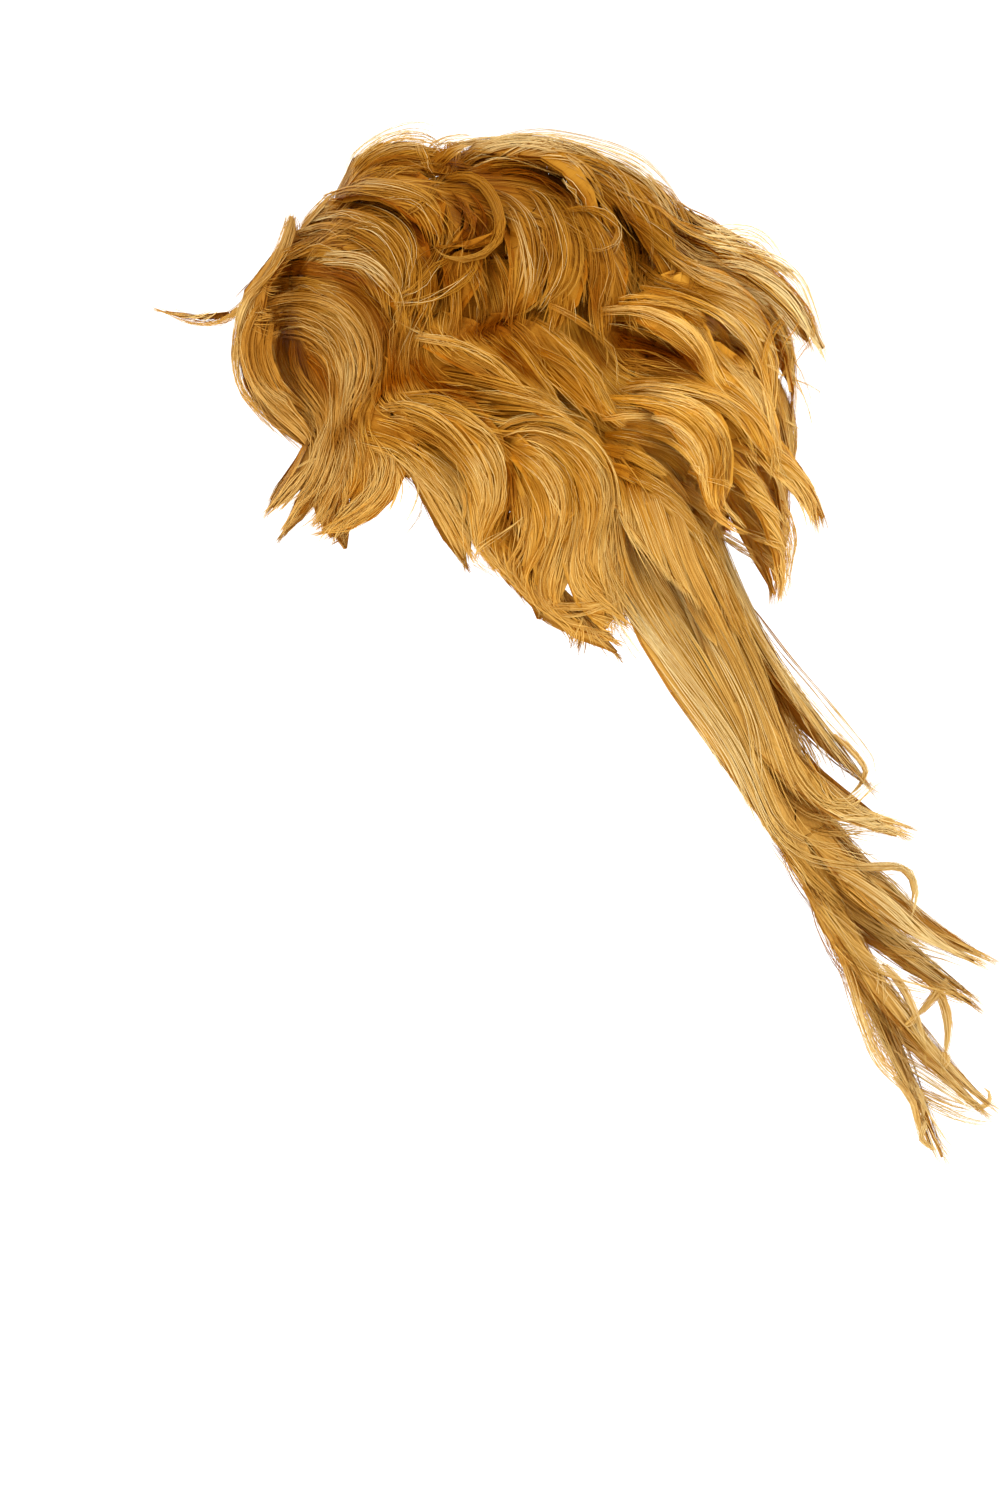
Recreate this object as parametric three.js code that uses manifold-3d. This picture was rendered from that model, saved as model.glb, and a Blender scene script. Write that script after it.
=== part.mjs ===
// A worn wig of loose golden curls, cut in layers, with a long tail of hair at the nape.
// A thin stretch cap carries masses of hair, and each mass is a backing with its locks fused to it.
// Millimetres. The origin is the inside top of the cap, +Z is up, the face looks along -Y and +X is the left.
import * as THREE from "three";
import { mergeVertices } from "three/addons/utils/BufferGeometryUtils.js";
import Module from "manifold-3d";

const wasm = await Module();
wasm.setup();

// Driving dimensions
const HEAD_HALF_WIDTH = 78;
const HEAD_HALF_LENGTH = 97;
const HEAD_HALF_HEIGHT = 92;
const CAP_WALL = 2;
const GAP = 0.8; // clear space between neighbouring pieces
const SMOOTHING = 0.45; // details smaller than this are smoothed away before pieces are cut from each other
const CUT_SMOOTHING = 0.15; // and smaller than this afterwards
const TOUCH = 0.02; // how far corners that touch are drawn apart
const PARTING_X = -20; // the hair parts to the right of the middle
const ROOT_SINK = 12; // how far a lock's root dips towards the scalp
const SINK_SHARE = 0.25; // share of a lock's length over which it rises out of its backing
const RIGHT_TIP_SHIFT = 6; // how far a tip on the right strays from the mirror image of the left
const RIGHT_BOW_SHARE = 0.86;
const SIDE_SHARE = 0.72; // how thick the hair stands over the ears, as a share of the front and back
const LOCK_SIDES = 4;
const LOCK_STEPS = 6;
const TAIL_STEPS = 9;
const ROOT_FULLNESS = 0.62; // a lock's size at its root and tip, as a share of its largest
const TIP_FULLNESS = 0.1;

const HEAD_CENTRE_Z = -HEAD_HALF_HEIGHT;
const { degToRad, lerp, smoothstep } = THREE.MathUtils;

// The cap's lower edge: how far down from the crown it reaches at a bearing round from the face, in degrees
const CAP_EDGE = [
  { around: 0, down: 62 },
  { around: 50, down: 74 },
  { around: 72, down: 102 },
  { around: 84, down: 102 },
  { around: 100, down: 94 },
  { around: 128, down: 114 },
  { around: 180, down: 124 },
];

// Backings: the stretch of scalp that each mass of hair grows from, in degrees, and how thick its roots stand
// there at the top and at the bottom. A backing with no bottom ends at the cap's edge.
const BACKINGS = {
  crown: { from: 0, to: 360, top: 0, bottom: 47, thick: [38, 32] },
  fringe: { from: -60, to: 60, top: 48, thick: [32, 14] },
  side_left: { from: 61, to: 128, top: 48, thick: [32, 18] },
  side_right: { from: 232, to: 299, top: 48, thick: [32, 18] },
  back_layers: { from: 129, to: 231, top: 48, bottom: 92, thick: [32, 24] },
  tail: { from: 129, to: 231, top: 93, thick: [23, 16] },
};

// Locks. root and tip are [y, z] as seen from the left, and bow is the bulge to the left of the way along.
// wave is the half-height of an S on top of it, out is x at the root, halfway and at the tip, and size is the
// largest width and depth. A row with a side is made once, there, and any other row on both sides.
// sink is how deep the root dips, where that isn't the usual. A row with a sink of 0 starts on another lock.
const LOCKS = {
  crown: {
    top_tuft: { root: [-77, 4], tip: [-14, 26], bow: 21, out: [6, 14, 28], size: [32, 24] },
    sweep_low: { root: [-92, -14], tip: [-40, -46], bow: 14, out: [14, 68, 92], size: [24, 14] },
    sweep_mid: { root: [-87, 9], tip: [-33, -42], bow: 18, out: [10, 66, 92], size: [26, 14], sink: 5 },
    sweep_high: { root: [-80, 17], tip: [-25, -4], bow: 17, out: [8, 46, 76], size: [30, 15], sink: 5 },
    sweep_back: { root: [-48, 26], tip: [-16, -44], bow: 16, out: [18, 72, 95], size: [26, 14] },
    knot_outer: { root: [-18, 26], tip: [-28, -10], bow: 30, out: [28, 74, 82], size: [9, 9], side: "left" },
    knot_inner: { root: [-25, 22], tip: [-25, -14], bow: 15, out: [26, 70, 82], size: [9, 9], side: "left" },
    arc_front: { root: [-16, 25], tip: [57, -3], bow: 28, out: [24, 34, 66], size: [18, 13] },
    arc_back: { root: [4, 34], tip: [54, -15], bow: 27, out: [10, 34, 72], size: [18, 12] },
    crown_top: { root: [-28, 36], tip: [100, 3], bow: 16, out: [4, 12, 16], size: [42, 22] },
    crown_slope: { root: [15, 32], tip: [91, -30], bow: 23, out: [14, 34, 60], size: [36, 18] },
    crown_side_a: { root: [-5, 22], tip: [8, -48], bow: 18, out: [32, 84, 100], size: [24, 13] },
    crown_side_b: { root: [8, 22], tip: [30, -52], bow: 19, out: [32, 84, 100], size: [24, 13] },
    crown_side_c: { root: [22, 26], tip: [54, -52], bow: 18, out: [28, 72, 92], size: [28, 14] },
    flick_top: { root: [70, 12], tip: [148, -20], bow: 5, wave: 3, out: [16, 24, 26], size: [16, 11] },
    flick_a: { root: [75, 6], tip: [167, -59], bow: 12, out: [34, 42, 40], size: [28, 15] },
  },
  fringe: {
    front_wisp: { root: [-94, 2], tip: [-163, -40], bow: 20, out: [2, 6, 8], size: [10, 8], side: "middle" },
    bang_front: { root: [-85, 8], tip: [-84, -112], bow: -36, out: [8, 32, 48], size: [30, 17] },
    bang_heart: { root: [-96, -14], tip: [-82, -106], bow: 2, out: [24, 46, 50], size: [50, 16] },
    bang_arch: { root: [-94, -18], tip: [-78, -112], bow: 24, out: [22, 68, 56], size: [30, 16] },
    temple_a: { root: [-84, -92], tip: [-110, -139], bow: 5, out: [49, 50, 48], size: [16, 10], sink: 0 },
    temple_b: { root: [-80, -94], tip: [-101, -146], bow: 5, out: [51, 54, 50], size: [14, 10], sink: 0 },
    temple_c: { root: [-74, -94], tip: [-79, -154], bow: -6, out: [56, 58, 54], size: [20, 10], sink: 0 },
  },
  side: {
    temple_hook: { root: [-48, -94], tip: [-84, -150], bow: 16, out: [76, 78, 58], size: [15, 11] },
    temple_fill: { root: [-54, -70], tip: [-74, -134], bow: 5, out: [72, 77, 62], size: [26, 14] },
    temple_wave: { root: [-58, -62], tip: [-36, -116], bow: 5, out: [68, 82, 84], size: [28, 14] },
    wave_a: { root: [-45, -45], tip: [35, -98], bow: 8, out: [80, 100, 106], size: [26, 13] },
    wave_b: { root: [-10, -45], tip: [62, -95], bow: 6, out: [94, 104, 96], size: [24, 13] },
    temple_edge: { root: [-45, -92], tip: [-10, -160], bow: 3, out: [76, 88, 88], size: [22, 12] },
    ear_curl_a: { root: [-50, -86], tip: [-7, -159], bow: 27, out: [80, 102, 92], size: [28, 14] },
    ear_curl_b: { root: [0, -95], tip: [16, -171], bow: 24, out: [98, 104, 92], size: [26, 14] },
    ear_curl_c: { root: [0, -92], tip: [35, -175], bow: 36, out: [98, 98, 88], size: [27, 15] },
    neck_edge: { root: [-17, -114], tip: [62, -205], bow: -12, out: [94, 88, 64], size: [20, 12] },
    neck_curl_a: { root: [5, -108], tip: [30, -192], bow: 10, out: [96, 96, 82], size: [26, 14] },
    neck_curl_b: { root: [40, -104], tip: [57, -200], bow: 1, out: [92, 90, 74], size: [40, 15] },
    nape_wave: { root: [52, -96], tip: [116, -190], bow: -2, out: [88, 84, 66], size: [32, 15] },
  },
  back_layers: {
    flick_b: { root: [77, -22], tip: [142, -90], bow: 22, out: [60, 58, 40], size: [34, 15] },
    flick_c: { root: [66, -35], tip: [112, -78], bow: 10, out: [76, 82, 70], size: [28, 14] },
    flick_d: { root: [77, -64], tip: [144, -120], bow: 18, out: [74, 68, 48], size: [34, 15] },
    flick_e: { root: [84, -88], tip: [164, -145], bow: 15, out: [66, 54, 40], size: [24, 13] },
    flick_f: { root: [88, -92], tip: [146, -180], bow: 17, out: [58, 52, 40], size: [20, 12] },
    flick_g: { root: [94, -84], tip: [147, -178], bow: 2, out: [42, 38, 28], size: [16, 11] },
    back_wave: { root: [78, -76], tip: [112, -145], bow: 14, out: [76, 84, 68], size: [32, 15] },
    mid_a: { root: [98, -18], tip: [152, -80], bow: 14, out: [2, -2, 4], size: [38, 16], side: "middle" },
    mid_b: { root: [104, -45], tip: [150, -125], bow: 15, out: [-4, 2, -6], size: [38, 16], side: "middle" },
    mid_c: { root: [106, -76], tip: [146, -165], bow: 14, out: [4, 0, 6], size: [36, 15], side: "middle" },
  },
  tail: {
    edge: { root: [62, -122], tip: [168, -338], bow: -8, wave: -4, out: [58, 52, 42], size: [42, 22] },
    curl_a: { root: [75, -118], tip: [202, -302], bow: -21, wave: 8, out: [50, 46, 40], size: [34, 20] },
    curl_b: { root: [84, -116], tip: [212, -338], bow: -22, wave: 9, out: [24, 20, 14], size: [30, 20] },
    sweep_a: { root: [85, -118], tip: [243, -366], bow: -28, wave: 11, out: [38, 34, 26], size: [28, 20] },
    sweep_b: { root: [80, -124], tip: [242, -388], bow: -22, wave: 12, out: [12, 10, 6], size: [30, 19] },
    long_a: { root: [76, -124], tip: [250, -438], bow: -14, wave: 11, out: [42, 34, 24], size: [34, 18] },
    long_b: { root: [82, -124], tip: [222, -461], bow: 2, out: [22, 18, 12], size: [20, 15] },
    back: { root: [98, -104], tip: [189, -276], bow: -18, out: [0, 0, 0], size: [34, 18], side: "middle" },
  },
};

// Scalp

// A point that stands off the scalp at a bearing round from the face and an angle down from the crown.
function scalpPoint(around, down, off) {
  const bearing = degToRad(around);
  const polar = degToRad(down);
  return new THREE.Vector3(
    (HEAD_HALF_WIDTH + off) * Math.sin(polar) * Math.sin(bearing),
    -(HEAD_HALF_LENGTH + off) * Math.sin(polar) * Math.cos(bearing),
    HEAD_CENTRE_Z + (HEAD_HALF_HEIGHT + off) * Math.cos(polar),
  );
}

// How far down the cap's edge lies at a bearing, eased from row to row of its table.
function capEdge(around) {
  const bearing = Math.abs(THREE.MathUtils.euclideanModulo(around + 180, 360) - 180);
  const next = Math.max(1, CAP_EDGE.findIndex((row) => row.around >= bearing));
  const [a, b] = [CAP_EDGE[next - 1], CAP_EDGE[next]];
  return lerp(a.down, b.down, smoothstep(bearing, a.around, b.around));
}

// The way out of the hair at a point: off the scalp above the ears, and level below them.
function outward(point) {
  return new THREE.Vector3(
    point.x / HEAD_HALF_WIDTH ** 2,
    point.y / HEAD_HALF_LENGTH ** 2,
    Math.max(0, point.z - HEAD_CENTRE_Z) / HEAD_HALF_HEIGHT ** 2,
  ).normalize();
}

// Solids

// A closed manifold solid from triangles, with faces out and the slivers at a pole dropped.
function solidOf(points, faces) {
  const geometry = new THREE.BufferGeometry().setFromPoints(points).setIndex(faces.flat());
  const merged = mergeVertices(geometry, 1e-3);
  const corners = [];
  for (let i = 0; i < merged.index.count; i += 3) {
    const triangle = [0, 1, 2].map((k) => merged.index.getX(i + k));
    if (new Set(triangle).size === 3) corners.push(triangle);
  }
  const build = (triangles) =>
    new wasm.Manifold(
      new wasm.Mesh({
        numProp: 3,
        vertProperties: merged.attributes.position.array,
        triVerts: new Uint32Array(triangles.flat()),
      }),
    );
  const solid = build(corners);
  return solid.volume() > 0 ? solid : build(corners.map(([a, b, c]) => [a, c, b]));
}

// A wall over a grid: outer and inner give its two faces for u and v from 0 to 1. A round wall closes in u.
function wallSolid(columns, rows, round, outer, inner) {
  const points = [];
  const across = round ? columns : columns + 1;
  const index = (face, i, j) => (face * (rows + 1) + j) * across + (i % across);
  for (const face of [outer, inner])
    for (let j = 0; j <= rows; j++)
      for (let i = 0; i < across; i++) points.push(face(i / columns, j / rows));
  const faces = [];
  const quad = (a, b, c, d) => faces.push([a, b, c], [a, c, d]);
  for (let i = 0; i < columns; i++) {
    for (let j = 0; j < rows; j++) {
      quad(index(0, i, j), index(0, i, j + 1), index(0, i + 1, j + 1), index(0, i + 1, j));
      quad(index(1, i, j), index(1, i + 1, j), index(1, i + 1, j + 1), index(1, i, j + 1));
    }
    quad(index(0, i, 0), index(0, i + 1, 0), index(1, i + 1, 0), index(1, i, 0));
    quad(index(0, i, rows), index(1, i, rows), index(1, i + 1, rows), index(0, i + 1, rows));
  }
  if (!round)
    for (let j = 0; j < rows; j++) {
      quad(index(0, 0, j), index(1, 0, j), index(1, 0, j + 1), index(0, 0, j + 1));
      quad(index(0, columns, j), index(0, columns, j + 1), index(1, columns, j + 1), index(1, columns, j));
    }
  return solidOf(points, faces);
}

// A body through rings of equal count, closed by a flat face at each end.
function loftSolid(rings) {
  const sides = rings[0].length;
  const last = (rings.length - 1) * sides;
  const faces = [];
  for (let j = 0; j < rings.length - 1; j++)
    for (let i = 0; i < sides; i++) {
      const [a, b] = [j * sides + i, j * sides + ((i + 1) % sides)];
      faces.push([a, b, b + sides], [a, b + sides, a + sides]);
    }
  for (let i = 1; i < sides - 1; i++) faces.push([0, i + 1, i], [last, last + i, last + i + 1]);
  return solidOf(rings.flat(), faces);
}

// Cap

function capSolid() {
  const face = (off) => (u, v) => scalpPoint(360 * u, v * capEdge(360 * u), off);
  return wallSolid(32, 6, true, face(CAP_WALL), face(0));
}

// The space inside the hair, which the cap and a head fill.
function headSolid() {
  const rings = [];
  for (let down = 4; down <= 176; down += 12)
    rings.push(
      Array.from({ length: 30 }, (_, i) => scalpPoint(i * 12, down, CAP_WALL + 2 * GAP)),
    );
  return loftSolid(rings);
}

// Hair

// The backing of a mass, thinner over the ears. grow swells it on every side.
function backingSolid({ from, to, top, bottom, thick }, grow) {
  const round = to - from === 360;
  const spread = THREE.MathUtils.radToDeg(grow / HEAD_HALF_WIDTH);
  const bearing = (u) => (round ? 360 * u : lerp(from - spread, to + spread, u));
  const polar = (u, v) => lerp(Math.max(0, top - spread), (bottom ?? capEdge(bearing(u))) + spread, v);
  const sideways = (u, v) => Math.sin(degToRad(bearing(u))) ** 2 * Math.min(1, polar(u, v) / 48);
  const stand = (u, v) => lerp(...thick, v) * lerp(1, SIDE_SHARE, sideways(u, v));
  const outer = (u, v) => scalpPoint(bearing(u), polar(u, v), stand(u, v) + grow);
  const inner = (u, v) => scalpPoint(bearing(u), polar(u, v), CAP_WALL + GAP - grow);
  return wallSolid(round ? 20 : 6, 3, round, outer, inner);
}

// A lock's centre line at t from 0 at the root to 1 at the tip.
function lockPoint(lock, t) {
  const chord = new THREE.Vector2(lock.tip[0] - lock.root[0], lock.tip[1] - lock.root[1]);
  const left = new THREE.Vector2(-chord.y, chord.x).normalize();
  const bulge = lock.bow * 4 * t * (1 - t) + (lock.wave ?? 0) * Math.sin(2 * Math.PI * t);
  const [root, middle, tip] = lock.out;
  const x = root * (1 - t) * (1 - 2 * t) + middle * 4 * t * (1 - t) + tip * t * (2 * t - 1);
  const y = lock.root[0] + chord.x * t + left.x * bulge;
  const z = lock.root[1] + chord.y * t + left.y * bulge;
  const point = new THREE.Vector3(x, y, z);
  const sunk = (lock.sink ?? ROOT_SINK) * Math.max(0, 1 - t / SINK_SHARE) ** 2;
  return point.addScaledVector(outward(point), -sunk);
}

// A lock's size along its length: full over the first half, then drawn in to a tip.
function fullness(t) {
  const swell = lerp(ROOT_FULLNESS, 1, smoothstep(t, 0, 0.3));
  return lerp(TIP_FULLNESS, swell, Math.sqrt(1 - t ** 3));
}

function lockSolid(lock, steps, grow) {
  const rings = [];
  for (let i = 0; i <= steps; i++) {
    const t = i / steps;
    const centre = lockPoint(lock, t);
    const along = lockPoint(lock, t + 0.02).sub(lockPoint(lock, t - 0.02)).normalize();
    const out = outward(centre);
    out.addScaledVector(along, -out.dot(along)).normalize();
    const across = along.clone().cross(out);
    const halfWidth = (lock.size[0] / 2) * fullness(t) + grow;
    const halfDepth = (lock.size[1] / 2) * fullness(t) + grow;
    const ring = [];
    for (let k = 0; k < LOCK_SIDES; k++) {
      const angle = (2 * Math.PI * k) / LOCK_SIDES;
      ring.push(
        centre
          .clone()
          .addScaledVector(across, halfWidth * Math.cos(angle))
          .addScaledVector(out, halfDepth * Math.sin(angle)),
      );
    }
    rings.push(ring);
  }
  return loftSolid(rings);
}

// Both copies of each row. The right one strays a little from a mirror image, and parted hair moves over.
function bothSides(rows, parted) {
  return Object.values(rows).flatMap((row, i) => {
    const shift = parted && row.sink !== 0 ? PARTING_X : 0;
    const left = { ...row, out: [row.out[0] + shift, row.out[1] + shift / 5, row.out[2]] };
    const stray = [RIGHT_TIP_SHIFT * Math.sin(2.4 * i), RIGHT_TIP_SHIFT * Math.cos(1.7 * i)];
    const right = {
      ...row,
      out: [shift - row.out[0], shift / 5 - row.out[1], -row.out[2]],
      tip: [row.tip[0] + stray[0], row.tip[1] + stray[1]],
      bow: row.bow * RIGHT_BOW_SHARE,
    };
    if (row.side === "middle") return [row];
    return row.side === "left" ? [left] : [left, right];
  });
}

const leftOnly = (rows) => bothSides(rows, false).filter((lock) => lock.out[1] > 0);
const rightOnly = (rows) => bothSides(rows, false).filter((lock) => lock.out[1] < 0);

const MASS_LOCKS = {
  crown: bothSides(LOCKS.crown, true),
  fringe: bothSides(LOCKS.fringe, true),
  side_left: leftOnly(LOCKS.side),
  side_right: rightOnly(LOCKS.side),
  back_layers: bothSides(LOCKS.back_layers, false),
  tail: bothSides(LOCKS.tail, false),
};

// A mass before its neighbours are cut out of it.
function massSolid(name, grow) {
  const steps = name === "tail" ? TAIL_STEPS : LOCK_STEPS;
  const locks = MASS_LOCKS[name].map((lock) => lockSolid(lock, steps, grow));
  return smoothed(wasm.Manifold.union([backingSolid(BACKINGS[name], grow), ...locks]), SMOOTHING);
}

// The main body of a solid, without loose scraps, sealed bubbles or details too small to matter.
function smoothed(solid, detail) {
  return largestBody(largestBody(solid).asOriginal().simplify(detail));
}

function largestBody(solid) {
  return solid.decompose().reduce((a, b) => (a.volume() > b.volume() ? a : b));
}

// The hair masses from the top layer down, each cut clear of the head and of the layers above it.
function hairSolids() {
  const masses = {};
  let taken = headSolid();
  for (const name of Object.keys(MASS_LOCKS)) {
    masses[name] = smoothed(massSolid(name, 0).subtract(taken), CUT_SMOOTHING);
    taken = taken.add(massSolid(name, GAP));
  }
  return masses;
}

// Assembly

const COLOURS = {
  wig_cap: "#a9762f",
  crown: "#c08a3c",
  fringe: "#c68f3f",
  side_left: "#d09a45",
  side_right: "#d09a45",
  back_layers: "#d6a250",
  tail: "#d9a752",
};

// Where two corners of a solid fall on one spot, the second is drawn a little way into its own side.
function separateCorners(geometry) {
  const { position, normal } = geometry.attributes;
  const spots = new Set();
  for (let i = 0; i < position.count; i++) {
    const corner = new THREE.Vector3().fromBufferAttribute(position, i);
    const spot = corner.toArray().map((n) => n.toFixed(3)).join();
    if (spots.has(spot)) corner.addScaledVector(new THREE.Vector3().fromBufferAttribute(normal, i), -TOUCH);
    position.setXYZ(i, corner.x, corner.y, corner.z);
    spots.add(spot);
  }
}

function meshOf(name, solid) {
  const { vertProperties, triVerts } = solid.getMesh();
  const geometry = new THREE.BufferGeometry();
  geometry.setAttribute("position", new THREE.BufferAttribute(vertProperties, 3));
  geometry.setIndex(new THREE.BufferAttribute(triVerts, 1));
  geometry.computeVertexNormals();
  separateCorners(geometry);
  const material = new THREE.MeshStandardMaterial({ color: COLOURS[name], roughness: 0.5, metalness: 0 });
  const mesh = new THREE.Mesh(geometry, material);
  mesh.name = name;
  return mesh;
}

const wig = new THREE.Group();
wig.name = "wig";
wig.add(meshOf("wig_cap", capSolid()));
for (const [name, solid] of Object.entries(hairSolids())) wig.add(meshOf(name, solid));

export default wig;
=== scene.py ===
"""A layered golden wig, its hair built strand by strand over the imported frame.

Paths are in millimetres and objects in metres. +Z is up, the face looks along -Y and +X is the wearer's left.
"""

import math

import bpy
import numpy as np
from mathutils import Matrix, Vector
from mathutils.bvhtree import BVHTree


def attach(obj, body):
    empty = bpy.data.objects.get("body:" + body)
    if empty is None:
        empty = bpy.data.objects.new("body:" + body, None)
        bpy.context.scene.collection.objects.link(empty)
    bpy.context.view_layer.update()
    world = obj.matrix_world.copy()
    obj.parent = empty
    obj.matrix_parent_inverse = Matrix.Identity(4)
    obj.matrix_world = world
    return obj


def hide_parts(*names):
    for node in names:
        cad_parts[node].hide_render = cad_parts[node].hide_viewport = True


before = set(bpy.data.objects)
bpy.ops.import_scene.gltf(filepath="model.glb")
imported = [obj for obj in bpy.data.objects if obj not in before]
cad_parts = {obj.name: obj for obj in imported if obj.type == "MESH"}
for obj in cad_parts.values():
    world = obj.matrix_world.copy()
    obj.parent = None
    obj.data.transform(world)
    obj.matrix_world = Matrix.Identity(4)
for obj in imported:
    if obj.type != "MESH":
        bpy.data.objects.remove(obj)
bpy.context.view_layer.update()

MM = 0.001
LEFT, RIGHT = 1, -1
rng = np.random.default_rng(11)

# Sizes shared with the solids
HEAD = np.array([78.0, 97.0, 92.0])  # half width, half length, half height
CENTRE = np.array([0.0, 0.0, -92.0])
OUTSIDE = 0.4  # metres from the middle to where rays start, clear of the hair

# Strands
STRAND_RADIUS = 0.21  # half the width of a strand of a drawn lock
FIELD_RADIUS = 0.32  # half the width of a strand that lies on the solids
FLY_RADIUS = 0.13  # half the width of a loose hair
STRAND_FLAT, FIELD_FLAT = 0.5, 0.3  # a strand's thickness as a share of its width
STRAND_SIDES = 3
STRAND_RING = 8.5  # spacing of the rings of a strand
STRAND_RINGS = (4, 18)  # the fewest and the most spaces between them
STRAND_TAPER = ([0, 0.12, 0.7, 1], [0.3, 1, 0.9, 0.14])  # share of the length, share of the width
FRIZZ = 0.3  # how far an ordinary strand wavers
FLY_SHARE = 0.08  # share of strands that stray from their lock
FLY_LIGHT = 0.35  # how much lighter a loose hair is painted, for the light that shines through it

# Drawn locks
PATH_POINTS = 40
SPLINE_STEPS = 12
PATH_BEYOND = 8  # points that carry a path on past its tip
LOCK_FULLNESS = ([0, 0.25, 0.6, 0.85, 1, 1.2], [0.7, 1, 0.95, 0.7, 0.35, 0.2])  # as for the taper
LOCK_REACH = (0.9, 1.06)  # where the points of a lock end, as a share of its length
LOCK_SPLAY = 0.06  # how far its points part, as a share of its width
POINT_WIDTH = 2.2  # width of a lock to one of its points
GATHER, CUT_GATHER = 0.85, 0.3  # how far strands draw together at a tip, and where a layer ends
UNDER_SHARE = 0.2  # share of strands on the underside of a lock
LATE_SHARE, LATE_START = 0.3, 0.35  # share of strands that start past the root, and how far along
FINE_WIDTH = 3  # a drawn lock this narrow is a few loose hairs
CORE_FULLNESS = ([0, 0.2, 0.6, 0.85, 1], [0.4, 1, 0.9, 0.5, 0.04])
CORE_SIDES, CORE_RINGS = 6, 9
CORE_END = 0.92  # how far along its lock the body runs
CORE_DEPTH = 0.6  # its depth as a share of the lock's
CORE_DROP = 0.6  # how deep it lies, as a share of its own depth
CORE_TONE = 0.94
SINK_SHARE = 0.25  # the share of a lock that rises from its root
STRAY = 3.0  # how far a lock on the right strays from the mirror image of the left
FAR_SIDE = -15.0  # a drawn lock lies on nothing further round than this
LEAST_SLOPE = 0.8  # a drawn lock that leaves one layer for a lower one drops no faster than this
SURFACE_SLOPE = 1.5  # or than this many times as fast as the surface falls away
LAYER_GAP = 18.0  # a drawn lock ends where the next layer lies further in or out than this
LEAST_RUN = 5  # fewest points of a drawn lock that lie on one layer
OVERRUN = 2  # how many points a lock runs on where its layer ends
CUT_SINK, CUT_STEPS = 3, 6  # how deep a lock starts on a later layer, and how many points it rises over
LEAN = 0.7  # how far the way out of a lock leans to the side that it is drawn on
BACK_LOCKS = 40
BACK_WIDTH = 200  # how wide they spread, on the drawing
BACK_ROWS = [196, 246, 300, 356]  # how far down the drawing they begin
BACK_DENSE = 1.2  # strands to a millimetre of a back lock's width
BACK_GAP = 25.0  # the layer gap of the back locks

# Strands that lie on the solids
FIELD_STEPS = 10
FIELD_RINGS = 6
LEAST_STEPS = 3  # a strand that takes fewer is left out
FREE_STEPS = 2  # how many steps a strand runs on past a tip
BRIDGE = 12.0  # how far from the solids a strand may run
SETTLE = 1.6  # how far a strand drops towards the solids in a step
TRIES = 12  # places tried for each strand

# The body of the hair
SHELL_INSET = 0.8  # how far it lies inside the solids
THIN_INSET = 0.44  # the same in a thin lock, as a share of its depth
THIN_FROM, THIN_TO = 5.0, 14.0  # a lock this thin is all strands, and this thick has its full body
SHELL_T = 0.4  # its place along a strand's colours
SHELL_TONE, THIN_TONE = 0.97, 0.4  # how light it is, and how much lighter, with painted light through thin hair, it may be in a thin lock

# Shades
DEEP_SHADE_COLOUR = (0.22, 0.056, 0.0008)  # the colour of painted shade in the depth of the hair, linear
DEEP_TONE, PALE_TONE = 0.35, 1.45  # tones at which the colour is all painted shade, and all pale, as painted highlight
LOCK_CONTRAST = 0.55  # how much the locks differ in lightness, own tone and painted highlight and shade alike, apart from the bands
EDGE_THICK, EDGE_LIGHT = 40.0, 0.27  # hair thinner than this is painted paler for the light that shines through it, and by how much at its edge
GRID = 2.0  # spacing of the grid that holds which way the hair runs
GRID_LOW = np.array([-200.0, -500.0])
GRID_CELLS = (250, 300)
LOOSE_WEIGHT = 0.3  # how much a lock with no root counts in it
BAND_POINTS = 12

# The tables are drawn on the side view, in half millimetres right and down from the drawing's corner
DRAWN_UNIT = 0.5
CROWN_ON_DRAWING = (490, 230)

# A line with a colon heads a group and gives what its locks share. Each other line is a lock: its width, how
# light it is, partly its own tone and partly painted highlight and painted shade, its points from root to
# tip,
# and what it has of its own, by these names:
#   sink and lift: how deep its root and how high the rest lies
#   clumps: how many points it ends in, where its width doesn't say
#   depth: its depth as a share of its width
#   body: the share of its width that the body under its strands takes
#   span: 1 where it spans the hollow between two layers
LOCK_DEFAULTS = dict(sink=6, lift=0.8, clumps=0, depth=0.2, body=0, span=0)

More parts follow.
